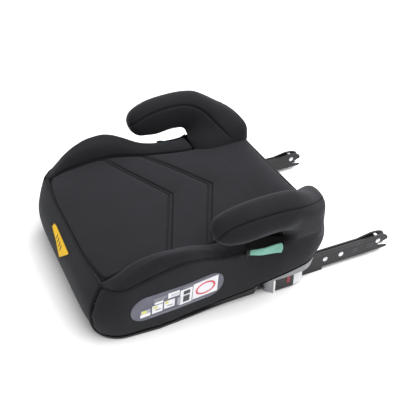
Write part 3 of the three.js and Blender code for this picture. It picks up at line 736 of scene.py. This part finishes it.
# ---- upholstery: thigh bolsters ----
def bolster_place(u, v, w):
    y = mix(-236.0, 22.0, v)
    inner = curve(PAD_HALF, y) + 0.6
    over = np.clip((-200 - y) / 40, 0, 1)
    outer = curve(SEAM_HALF, y) - 40 + 40 * np.sqrt(1 - over ** 2)
    tuck = (SKIRT_THICK + 2) * (1 - w) ** 0.7 + 0.6
    x = mix(inner, np.maximum(outer - tuck, inner + 1), u)
    z_in = curve([(-236, 99), (-215, 106), (-190, 109), (-120, 111), (-60, 106), (22, 106)], y)
    z_out = curve(SEAM_HEIGHT, y) - 4
    rise = np.maximum(curve(BOLSTER_PEAK, y) - (z_in + z_out) / 2, 1.5)
    top = mix(z_in, z_out, u) + rise * (1 - np.abs(2 * u - 1) ** 4.5)
    low = np.maximum(mix(z_in, z_out, u) - 14, 70)
    return np.stack([x, y, mix(low, top, w)], -1)


bolster_left = shaped_block("thigh_bolster_cover_left", (16, 56, 2), bolster_place)


def hold_bolster(p):
    y = p[:, 1]
    inner = curve(PAD_HALF, y) + 3
    outer = curve(SEAM_HALF, y) - 4
    edge = (p[:, 0] < inner) | (p[:, 0] > outer) | (p[:, 2] < mix(103, curve(SEAM_HEIGHT, y) - 8, 0.5))
    return edge.astype(float) * 0.97


puff(bolster_left, PRESSURE, 4.0, hold_bolster)
subdivide(bolster_left, 2)
bolster_right = mirrored(bolster_left, "thigh_bolster_cover_right")
for side, obj in (("left", bolster_left), ("right", bolster_right)):
    dress(obj, PAD_CLOTH)
    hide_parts(f"thigh_bolster_{side}")


# ---- upholstery: seat pad ----
CHEVRONS = [((0, -70.75), (127.5, -127.75)), ((0, -1.75), (120, -60.75))]
CHEVRON_HALF_GAP = 2.9
CHEVRON_DEPTH, CHEVRON_WIDTH = 3.4, 1.15
PAD_EDGE = 241.5
PAD_THICK = 15
PAD_CENTRE = [
    (-242, 103), (-232, 107.5), (-215, 111), (-180, 113.5), (-120, 115), (0, 115.5), (100, 116),
    (121, 114),
]
PAD_SIDE = [
    (-242, 98), (-230, 103), (-205, 110), (-128, 115.5), (-60, 109), (0, 109), (50, 111), (85, 117),
    (121, 122),
]


def pad_front(side):
    return -PAD_EDGE + 1.5 * np.abs(side) ** 2 + 9 * np.abs(side) ** 5


def pad_top(x, y):
    """Height of the pad's top before it is filled out."""
    side = np.clip(np.abs(x) / curve(PAD_HALF, y), 0, 1)
    return mix(curve(PAD_CENTRE, y), curve(PAD_SIDE, y), side ** 4)


def pad_place(u, v, w):
    side = 2 * u - 1
    y = mix(pad_front(side), REAR - 0.5, v)
    x = side * (curve(PAD_HALF, y) - 0.2)
    back = np.clip((y - (REAR - 12)) / 12, 0, 1)
    top = pad_top(x, y) - 7 * back ** 3
    return np.stack([x, y, mix(top - PAD_THICK, top, w)], -1)


def chevron_distance(x, y, which):
    (ax, ay), (bx, by) = CHEVRONS[which]
    direction = np.array([bx - ax, by - ay])
    direction = direction / np.linalg.norm(direction)
    return (np.abs(x) - ax) * -direction[1] + (y - ay) * direction[0]


pad = shaped_block("seat_pad_cover", (48, 62, 2), pad_place)


def hold_pad(p):
    x, y = p[:, 0], p[:, 1]
    side = np.abs(x) / curve(PAD_HALF, y)
    edge = (side > 0.985) | (y < -PAD_EDGE + 4 + 9 * side ** 5) | (y > REAR - 6)
    edge = edge | (p[:, 2] < pad_top(x, y) - 5)
    lines = sum(np.exp(-((chevron_distance(x, y, k) / 5) ** 2)) for k in (0, 1))
    return np.maximum(edge.astype(float), 0.93 * lines)


puff(pad, PRESSURE, 5.0, hold_pad)
subdivide(pad, 2)


def quilt(obj):
    """Presses the doubled stitching lines of both chevrons into the pad."""
    p = points_of(obj)
    up = normals_of(obj)[:, 2] > 0.3
    for k in (0, 1):
        d = chevron_distance(p[:, 0], p[:, 1], k)
        for offset in (-CHEVRON_HALF_GAP, CHEVRON_HALF_GAP):
            p[:, 2] -= up * CHEVRON_DEPTH * np.exp(-(((d - offset) / CHEVRON_WIDTH) ** 2))
        p[:, 2] -= up * 0.9 * np.exp(-((d / 9) ** 2))
    set_points(obj, p)


quilt(pad)
dress(pad, PAD_CLOTH)
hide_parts("seat_pad")


# ---- upholstery: front and rear panels ----
FRONT_LEAN = [(0, -247), (0.1, -253), (0.25, -259), (0.45, -261.5), (0.65, -259), (0.85, -250), (1, -241)]


def front_place(u, v, w):
    side = 2 * u - 1
    inset = v * 8
    corner = side_surface(np.zeros_like(u), w, inset)
    y = mix(curve(FRONT_LEAN, w) + inset, corner[:, 1], np.abs(side) ** 6)
    z = mix(mix(6.0, 103.5, w), corner[:, 2], np.abs(side) ** 8)
    return np.stack([side * (corner[:, 0] - 0.8), y, z], -1)


front = shaped_block("front_panel_cover", (54, 2, 18), front_place)


def hold_front(p):
    edge = (np.abs(p[:, 0]) > 140) | (p[:, 2] > 98) | (p[:, 2] < 12)
    return np.maximum(edge.astype(float), 0.5)


puff(front, PRESSURE, 4.0, hold_front)
subdivide(front, 2)
# the front panel gets the darker cloth with painted shade
dress(front, FRONT_CLOTH_PAINTED_SHADE)
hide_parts("front_panel")


def rear_place(u, v, w):
    side = 2 * u - 1
    corner = side_surface(np.ones_like(u), w, (1 - v) * SKIRT_THICK)
    half = side_surface(np.ones_like(u), w, 0.0)[:, 0] - 0.3
    y = mix(REAR - SKIRT_THICK, REAR, v) - 2 * (1 - w) + 1.5 * np.sin(np.pi * w) * v
    y = mix(y, corner[:, 1], np.abs(side) ** 6)
    return np.stack([side * half, y, mix(62.0, 111.0 + 3 * np.abs(side) ** 3, w)], -1)


rear = shaped_block("rear_panel_cover", (50, 2, 12), rear_place)


def hold_rear(p):
    return ((np.abs(p[:, 0]) > 128) | (p[:, 2] > 106) | (p[:, 2] < 67)).astype(float)


puff(rear, PRESSURE, 3.0, hold_rear)
subdivide(rear, 1)
dress(rear, SIDE_CLOTH)
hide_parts("rear_panel")


# ---- seams between the panels ----
def tube(name, line, radius, sides=6, upright=(0, 0, 1)):
    """A thread, cord or wire along the line, or a dark line of painted shade."""
    line = np.asarray(line)
    points = []
    for i, p in enumerate(line):
        along = Vector(line[min(i + 1, len(line) - 1)] - line[max(i - 1, 0)]).normalized()
        across = along.cross(Vector(upright))
        across = across.normalized() if across.length > 1e-3 else Vector((1, 0, 0))
        up = across.cross(along)
        for k in range(sides):
            a = 2 * math.pi * k / sides
            points.append(list(Vector(p) + (across * math.cos(a) + up * math.sin(a)) * radius))
    return make(name, points, rod_faces(len(line), sides))


def side_seam_line():
    """Where the bolster meets the skirt, from the pad's corner to the belt slot."""
    along = np.linspace(0, 0.555, 200)
    return side_surface(along, 1.0, 0.8)


def pad_side_line():
    y = np.linspace(-231, 22, 160)
    x = curve(PAD_HALF, y)
    return np.stack([x, y, pad_top(x, y)], -1)


def pad_front_line():
    side = np.linspace(-1, 1, 220)
    y = pad_front(side) + 1.5
    x = side * curve(PAD_HALF, y)
    return np.stack([x, y, pad_top(x, y)], -1)


def corner_line(along, count):
    """Up the body's corner, front at along 0 and rear at along 1."""
    w = np.linspace(0.03, 1, count)
    return side_surface(np.full_like(w, along), w, 0.0)


BOTH = {"left": 1, "right": -1}
covers = {"left": side_left, "right": side_right}
bolsters = {"left": bolster_left, "right": bolster_right}
SEAM_DEPTH, SEAM_WIDTH = 2.6, 2.2
THREAD_RADIUS, HEM_SHADOW_RADIUS = 0.8, 1.3
left_seams = {
    "skirt_top_seam": (side_seam_line(), (side_left, bolster_left)),
    "pad_side_seam": (pad_side_line(), (pad, bolster_left)),
    "front_corner_seam": (corner_line(0, 80), (front, side_left)),
    "rear_corner_seam": (corner_line(1, 60), (rear, side_left)),
}
paths = {name: settled(surface_of(*objs), line) for name, (line, objs) in left_seams.items()}
front_path = settled(surface_of(pad, front), pad_front_line())
for side, sign in BOTH.items():
    flip = np.array([sign, 1, 1])
    for name, piece in (
        ("skirt_top_seam", covers[side]), ("skirt_top_seam", bolsters[side]),
        ("pad_side_seam", bolsters[side]), ("pad_side_seam", pad),
        ("front_corner_seam", covers[side]), ("front_corner_seam", front),
        ("rear_corner_seam", covers[side]), ("rear_corner_seam", rear),
    ):
        carve(piece, paths[name][0] * flip, SEAM_DEPTH, SEAM_WIDTH)
    # near-black tubes sunk in the seam grooves: the seams' thread, and painted shade that darkens the
    # creases
    for name, (path, normals) in {**paths, **arm_seams}.items():
        sunk = (ARM_SEAM_DEPTH if name in arm_seams else SEAM_DEPTH) - THREAD_SUNK
        dress(tube(f"{name}_{side}", (path - normals * sunk) * flip, THREAD_RADIUS), THREAD_AND_PAINTED_SHADE)
    # a near-black tube along the hem: painted shadow of the hem's roll over the trim strip and the tray's
    # lip
    hem = side_surface(np.linspace(0.36, 0.985, 240), 0.0, 0.6) * flip
    dress(tube(f"hem_welt_{side}", hem, HEM_SHADOW_RADIUS), THREAD_AND_PAINTED_SHADE)
carve(pad, front_path[0], SEAM_DEPTH, SEAM_WIDTH)
carve(front, front_path[0], SEAM_DEPTH, SEAM_WIDTH)
# a near-black tube sunk in the front seam's groove: thread, and painted shade that darkens the crease
front_thread = front_path[0] - front_path[1] * (SEAM_DEPTH - THREAD_SUNK)
dress(tube("pad_front_seam", front_thread, THREAD_RADIUS), THREAD_AND_PAINTED_SHADE)


def stitches(name, lines, tree, pitch=4.2, length=3.1, radius=0.42):
    """Short thread stitches lying on the surface along the lines."""
    points, faces = [], []
    profile = [(-0.5, 0.25), (-0.3, 0.9), (0.0, 1.0), (0.3, 0.9), (0.5, 0.25)]
    sides = 5
    for line in lines:
        far = np.r_[0, np.cumsum(np.linalg.norm(np.diff(line, axis=0), axis=1))]
        for start in np.arange(pitch / 2, far[-1] - length / 2, pitch):
            at = np.array([np.interp([start - 0.5, start + 0.5], far, line[:, k]) for k in range(3)]).T
            (a, b), normals = onto(tree, at)
            along = Vector(b - a).normalized()
            up = Vector(normals[0])
            across = along.cross(up).normalized()
            centre = Vector((a + b) / 2) + up * radius * 0.4
            faces += rod_faces(len(profile), sides, len(points))
            for share, thick in profile:
                for k in range(sides):
                    turn = 2 * math.pi * k / sides
                    ring = (across * math.cos(turn) + up * math.sin(turn)) * radius * thick
                    points.append(list(centre + along * share * length + ring))
    return make(name, points, faces)


def chevron_lines():
    lines = []
    for (ax, ay), (bx, by) in CHEVRONS:
        slope = (by - ay) / (bx - ax)
        for offset in (-CHEVRON_HALF_GAP, CHEVRON_HALF_GAP):
            rise = offset * math.sqrt(1 + slope ** 2)
            x = np.linspace(-bx, bx, 120)
            y = ay + slope * np.abs(x) + rise
            lines.append(np.stack([x, y, pad_top(x, y)], -1))
    return lines


dress(stitches("chevron_stitching", chevron_lines(), surface_of(pad)), THREAD_AND_PAINTED_SHADE)


# ---- trim strips and belt guides, with painted shade in the belt slots ----
TRIM_LOW = [
    (-110, 7.5), (-60, 13), (-10, 20), (15, 28.6), (48, 28.6), (77, 31), (92, 36), (99, 45), (106, 53),
    (115, 58),
]
TRIM_ALONG = (0.585, 0.89)


def trim_place(u, v, w):
    inset = mix(HEM_INSET, 1.0, u) + 1.2 * (1 - w) ** 2
    x, y, _, _ = side_path(HEM_PATH, mix(*TRIM_ALONG, v), inset)
    return np.stack([x, y, mix(curve(TRIM_LOW, y), curve(HEM_HEIGHT, y) - 1.5, w)], -1)


trim_left = shaped_block("trim_strip_shell_left", (2, 110, 5), trim_place)
GUIDE_FROM, GUIDE_TO = -19.0, 31.0
MOUTH_HEIGHT, MOUTH_HALF = 104, 5.2
GUIDE_LOW = [(-19, 100), (3, 92.5), (31, 91)]
GUIDE_HIGH = [(-19, 108.5), (-5, 105), (5, 104), (16, 105.5), (31, 108.5)]


def guide_place(u, v, w):
    """A thin flared strip that stands on the slot's lower lip."""
    y = mix(GUIDE_FROM, GUIDE_TO, v) + 2.0 * np.sin(np.pi * w) * (2 * v - 1)
    z = mix(curve(GUIDE_LOW, y), curve(GUIDE_HIGH, y), w)
    fold = 1.6 * (1 - v) ** 2 * np.sin(np.pi * w)
    return np.stack([skirt_x(y, z) + mix(1.0, 3.4, u) + fold, y, z], -1)


guide_left = shaped_block("belt_guide_shell_left", (2, 30, 10), guide_place)


def mouth_shade_place(u, v, w):
    """A dark block at the guide's front end: painted shade in the mouth of the fold."""
    y = mix(GUIDE_FROM - 7.0, GUIDE_FROM + 1.0, v)
    z = MOUTH_HEIGHT + (2 * w - 1) * MOUTH_HALF
    return np.stack([skirt_x(y, z) + mix(0.2, 3.6, u) * (0.6 + 0.4 * np.sin(np.pi * w)), y, z], -1)


mouth_shade_left = shaped_block("belt_guide_mouth_left", (2, 4, 6), mouth_shade_place)


def slot_shade_place(u, v, w):
    """A black cloth sheet on the slot's lower lip, behind the guide: painted shade under the armrest."""
    y = mix(-48.0, 43.0, v)
    z = mix(104.0, mix(105.0, 113.5, smooth_step(2.5 * v)), w)
    return np.stack([skirt_x(y, z) - mix(0.0, 9.0, w) + mix(-1.5, 0.8, u), y, z], -1)


slot_shade_left = shaped_block("slot_lining_left", (2, 30, 6), slot_shade_place)
for obj in (trim_left, guide_left, mouth_shade_left, slot_shade_left):
    subdivide(obj, 1)
# the mouth block and the slot sheet are dark pieces of painted shade
for obj, look, slot, node in (
    (trim_left, GREY_PLASTIC, "grey_plastic", "trim_strip"),
    (guide_left, GREEN_PLASTIC, "green_plastic", "belt_guide"),
    (mouth_shade_left, RUBBER, "black_plastic", None),
    (slot_shade_left, THREAD_AND_PAINTED_SHADE, "side_fabric", None),
):
    other = mirrored(obj, obj.name.replace("_left", "_right"))
    for side, piece in (("left", obj), ("right", other)):
        dress(piece, look)
        if node:
            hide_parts(f"{node}_{side}")


# ---- return springs of the release grips ----
SPRING_TURNS, SPRING_RADIUS, SPRING_WIRE = 5, 3.0, 0.6
SPRING_FROM, SPRING_TO = 4.4, 17.6
SPRING_AXIS = (155.0, 14.0)
for side, sign in BOTH.items():
    t = np.linspace(0, 1, 160)
    turn = 2 * np.pi * SPRING_TURNS * t
    coil = np.stack([
        sign * (SPRING_AXIS[0] + SPRING_RADIUS * np.cos(turn)), mix(SPRING_FROM, SPRING_TO, t),
        SPRING_AXIS[1] + SPRING_RADIUS * np.sin(turn),
    ], -1)
    spring = dress(tube(f"return_spring_coil_{side}", coil, SPRING_WIRE, upright=(0, 1, 0)), BLACK_STEEL)
    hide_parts(f"grip_spring_{side}")
    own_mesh(spring)


# ---- instruction label and front tag, with plain generic marks ----
LABEL_CENTRE = (-133.5, 62.5)
LABEL_TILT = 0.08
LABEL_HALF = (72.0, 25.0)
label_tree = surface_of(side_left)


def on_label(points, lift):
    """Places label coordinates, s to the rear and t up, on the skirt's surface."""
    p = np.asarray(points, float)
    y = LABEL_CENTRE[0] + p[:, 0]
    z = LABEL_CENTRE[1] + p[:, 1] + LABEL_TILT * p[:, 0]
    starts = np.stack([np.full_like(y, 260.0), y, z], -1)
    return cast(label_tree, starts, (-1, 0, 0), lift)


def flat_patch(name, patches, place, lift):
    """One mesh of several gridded patches, each given by its four corners."""
    points, faces = [], []
    for corners in patches:
        a, b, c, d = [np.array(q, float) for q in corners]
        nu = max(2, int(max(np.linalg.norm(b - a), np.linalg.norm(c - d)) / 3) + 1)
        nv = max(2, int(max(np.linalg.norm(d - a), np.linalg.norm(c - b)) / 3) + 1)
        base = len(points)
        for i in range(nu):
            for j in range(nv):
                u, v = i / (nu - 1), j / (nv - 1)
                points.append(mix(mix(a, b, u), mix(d, c, u), v))
        faces += grid_faces(nu, nv, base)
    return make(name, place(np.array(points), lift), faces)


def stadium_points(half_long, half_high, nu, nv):
    """A grid of points over a strip with round ends."""
    s = half_long * np.linspace(-1, 1, nu)
    room = np.clip(half_long - np.abs(s), 0, half_high)
    half = half_high * np.sqrt(np.clip(1 - (1 - room / half_high) ** 2, 0, 1))
    half = np.maximum(half, 0.02)
    return np.array([(a, h * (2 * j / (nv - 1) - 1)) for a, h in zip(s, half) for j in range(nv)])


def ring_patch(centre, radii, width, count=48):
    """Points and faces of a flat oval ring."""
    turn = np.linspace(0, 2 * math.pi, count, endpoint=False)
    points = [
        (centre[0] + (radii[0] - k) * math.cos(a), centre[1] + (radii[1] - k) * math.sin(a))
        for a in turn for k in (0, width)
    ]
    faces = []
    for i in range(count):
        a, b = 2 * i, 2 * ((i + 1) % count)
        faces.append((a, b, b + 1, a + 1))
    return points, faces


def box_patch(s, t, w, h):
    """The corners of a rectangle by its middle, width and height."""
    return [(s + i * w / 2, t + j * h / 2) for i, j in ((-1, -1), (1, -1), (1, 1), (-1, 1))]


LABEL_GRID = (97, 17)
film_points = on_label(stadium_points(*LABEL_HALF, *LABEL_GRID), 0.45)
label_base = make("instruction_label_film", film_points, grid_faces(*LABEL_GRID))
white = flat_patch("label_white_panels", [
    box_patch(42, 1, 40, 34), box_patch(11.5, -1, 19, 33), box_patch(-14, -5, 16, 17),
    box_patch(-32, -7, 16, 17), box_patch(-50, -13, 15, 7), box_patch(-8, 13, 17, 11),
    box_patch(-30, 5.5, 13, 4.5),
], on_label, 0.75)
grey = flat_patch("label_grey_marks", [
    box_patch(-50, -5, 14, 8), box_patch(-28, 12.5, 20, 1.3), box_patch(-28, 15.5, 20, 1.3),
    box_patch(-30, 9.8, 16, 1.2), box_patch(0, -21, 84, 1.1), box_patch(30, 19.5, 50, 1.1),
    box_patch(0.5, -6, 5, 17), box_patch(-7, 14, 12, 1.2), box_patch(-7, 11, 12, 1.2),
], on_label, 0.95)
yellow = flat_patch("label_yellow_marks", [
    box_patch(-52, -5, 7, 6), box_patch(-35, -3, 6, 5), box_patch(-18, 0, 5, 5),
], on_label, 1.1)
dark = flat_patch("label_dark_marks", [
    box_patch(12, 8, 10, 8), box_patch(12, -6, 10, 14), box_patch(-31, -9, 8, 1.4),
    box_patch(-13, -8, 9, 1.4),
], on_label, 1.0)
ring_points, ring_faces = ring_patch((42, 1), (16, 13), 3.2)
pink = make("label_pink_ring", on_label(ring_points, 1.0), ring_faces)
for obj, look in (
    (label_base, LABEL_BASE), (white, LABEL_WHITE), (grey, LABEL_GREY), (yellow, LABEL_YELLOW),
    (dark, LABEL_DARK), (pink, LABEL_PINK),
):
    dress(obj, look)
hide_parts("instruction_label")

TAG_OUTLINE = [(38, 81), (41, 85), (-31, 88), (-41, 86), (-43, 79), (-12, 72), (10, 58)]
tag_tree = surface_of(front)


def on_front(points, lift):
    p = np.asarray(points, float)
    starts = np.stack([p[:, 0], np.full(len(p), -330.0), p[:, 1]], -1)
    return cast(tag_tree, starts, (0, 1, 0), lift)


def filled(name, outline, place, lift, rounds):
    """A flat outline filled with small triangles and laid on a surface."""
    fill = bmesh.new()
    fill.faces.new([fill.verts.new((x, y, 0)) for x, y in outline])
    bmesh.ops.triangulate(fill, faces=fill.faces)
    for _ in range(rounds):
        bmesh.ops.subdivide_edges(fill, edges=fill.edges, cuts=1, use_grid_fill=True)
    fill.verts.index_update()
    flat = [(v.co.x, v.co.y) for v in fill.verts]
    faces = [tuple(v.index for v in f.verts) for f in fill.faces]
    fill.free()
    return make(name, place(flat, lift), faces)


tag = filled("front_tag_cloth", TAG_OUTLINE, on_front, 0.7, 4)
outline = np.array(TAG_OUTLINE + TAG_OUTLINE[:1], float)
outline_far = np.r_[0, np.cumsum(np.linalg.norm(np.diff(outline, axis=0), axis=1))]
walk = np.arange(0, outline_far[-1], 1.5)
rim = on_front(np.stack([np.interp(walk, outline_far, outline[:, k]) for k in (0, 1)], -1), 0.7)
tag_edge = tube("front_tag_edge", np.concatenate([rim, rim[:1]]), 0.6)
tag_marks = flat_patch("front_tag_marks", [
    box_patch(-14, 79.5, 3, 6), box_patch(-6, 78, 3, 7), box_patch(2, 76.5, 3, 8), box_patch(10, 75, 3, 9),
], on_front, 1.0)
for obj, look in ((tag, TAG_CLOTH), (tag_edge, TAG_THREAD), (tag_marks, TAG_THREAD)):
    dress(obj, look)
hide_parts("front_tag")


# ---- arms and grips: small relief ----
def slabs(name, boxes, bevel):
    """Small bevelled blocks, each from a low to a high corner."""
    build = bmesh.new()
    for low, high in boxes:
        made = bmesh.ops.create_cube(build, size=1.0)["verts"]
        for v in made:
            for k in range(3):
                v.co[k] = mix(low[k], high[k], v.co[k] + 0.5) * MM
    bmesh.ops.bevel(build, geom=build.edges[:], offset=bevel * MM, segments=2, affect="EDGES", profile=0.6)
    mesh = bpy.data.meshes.new(name)
    build.to_mesh(mesh)
    build.free()
    obj = bpy.data.objects.new(name, mesh)
    bpy.context.scene.collection.objects.link(obj)
    return obj


# raised bars on the arms as y and z limits, and the x limits of the bright rim behind the front cap
RIM_X = (149.6, 164.2)
EMBOSS = [(184, 195, 17.6, 19.6), (184, 195, 21.8, 23.8), (212, 226, 17.4, 20.0), (212, 226, 22.2, 24.8)]
for side, sign in BOTH.items():
    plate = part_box(f"arm_outer_plate_{side}")
    face = max(abs(plate[0].x), abs(plate[1].x)) / MM
    near, far = sorted((sign * (face - 0.4), sign * (face + 0.6)))
    boxes = [([near, y0, z0], [far, y1, z1]) for y0, y1, z0, z1 in EMBOSS]
    emboss = slabs(f"arm_emboss_{side}", boxes, 0.3)
    dress(emboss, EMBOSS_STEEL, body=f"arm_{side}")
    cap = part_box(f"grip_front_cap_{side}")
    near, far = sorted((sign * RIM_X[0], sign * RIM_X[1]))
    rear_face, top = cap[1].y / MM, cap[1].z / MM
    box = ([near, rear_face - 3.2, 0.9], [far, rear_face - 0.3, top + 0.9])
    rim = slabs(f"grip_rim_{side}", [box], 0.9)
    dress(rim, RIM_PLASTIC, body=f"grip_{side}")

# ---- looks of the CAD nodes that stay ----
LOOKS = {
    "base_tray": BLACK_PLASTIC, "seat_deck": BLACK_PLASTIC, "deck_screw": BRIGHT_STEEL,
    "base_foot": RUBBER,
    "armrest_core": BLACK_PLASTIC, "trim_strip": GREY_PLASTIC, "belt_guide": GREEN_PLASTIC,
    "instruction_label": LABEL_BASE, "front_tag": TAG_CLOTH, "guide_rail": BLACK_STEEL,
    "arm_outer_plate": BLACK_STEEL, "arm_inner_plate": BLACK_STEEL, "arm_core": BLACK_PLASTIC,
    "arm_rivet": BRIGHT_STEEL, "latch_pin": BRIGHT_STEEL, "latch_pawl": BRIGHT_STEEL,
    "release_bar": BLACK_STEEL,
    # the front cap gets the darker grey with painted shade
    "grip_block": BLACK_PLASTIC, "grip_front_cap": CAP_PLASTIC_PAINTED_SHADE, "grip_rear_cap": SILVER_PLASTIC,
    "grip_indicator": RED_PLASTIC, "grip_spring": BLACK_STEEL,
}
for obj in bpy.context.scene.objects:
    if obj.type != "MESH" or "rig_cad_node" not in obj:
        continue
    look = next((v for k, v in LOOKS.items() if obj["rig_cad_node"].startswith(k)), None)
    if look:
        for i in range(len(obj.material_slots)):
            obj.material_slots[i].material = look
    if obj["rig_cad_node"].startswith(("arm_outer", "arm_inner", "grip_block", "grip_front", "grip_rear")):
        edge = obj.modifiers.new("edge", "BEVEL")
        edge.width = 0.6 * MM
        edge.segments = 2
        edge.limit_method = "ANGLE"
        edge.angle_limit = math.radians(40)

# ---- floor, light and camera ----
floor_mesh = bpy.data.meshes.new("floor")
floor_mesh.from_pydata([(-6, -6, 0), (6, -6, 0), (6, 6, 0), (-6, 6, 0)], [], [(0, 1, 2, 3)])
floor = bpy.data.objects.new("floor", floor_mesh)
bpy.context.scene.collection.objects.link(floor)
floor_look = Nodes("floor_paint")
floor_look.link(
    floor_look.ramp(floor_look.noise(3, 2), [(0.3, (0.86, 0.86, 0.86, 1)), (0.7, (0.9, 0.9, 0.9, 1))]),
    floor_look.shader.inputs["Base Color"],
)
floor_look.set(Roughness=0.9)
floor.data.materials.append(floor_look.mat)

world = bpy.data.worlds.new("studio")
bpy.context.scene.world = world
world.use_nodes = True
world.node_tree.nodes["Background"].inputs["Color"].default_value = (1, 1, 1, 1)
world.node_tree.nodes["Background"].inputs["Strength"].default_value = 0.72


def soft_light(name, place, aim, size, power):
    data = bpy.data.lights.new(name, "AREA")
    data.shape = "SQUARE"
    data.size = size
    data.energy = power
    obj = bpy.data.objects.new(name, data)
    bpy.context.scene.collection.objects.link(obj)
    obj.location = place
    obj.rotation_mode = "QUATERNION"
    obj.rotation_quaternion = (Vector(aim) - Vector(place)).to_track_quat("-Z", "Y")


soft_light("key_light", (0.7, 0.5, 2.1), (0, 0, 0.1), 2.4, 74)
soft_light("rear_light", (-0.5, 1.3, 1.6), (0, 0, 0.1), 1.8, 24)

AZIMUTH, ELEVATION = math.radians(65.25), math.radians(35.06)
back = Vector((
    math.sin(AZIMUTH) * math.cos(ELEVATION), -math.cos(AZIMUTH) * math.cos(ELEVATION), math.sin(ELEVATION),
))
bpy.context.scene.view_settings.view_transform = "Standard"
camera_data = bpy.data.cameras.new("camera")
camera_data.sensor_width = 36
camera_data.lens = 65.56
camera = bpy.data.objects.new("camera", camera_data)
bpy.context.scene.collection.objects.link(camera)
camera.location = (0.8831, -0.4270, 0.7705)
camera.rotation_mode = "QUATERNION"
camera.rotation_quaternion = (-back).to_track_quat("-Z", "Y")
camera_data.clip_start, camera_data.clip_end = 0.05, 50
bpy.context.scene.camera = camera
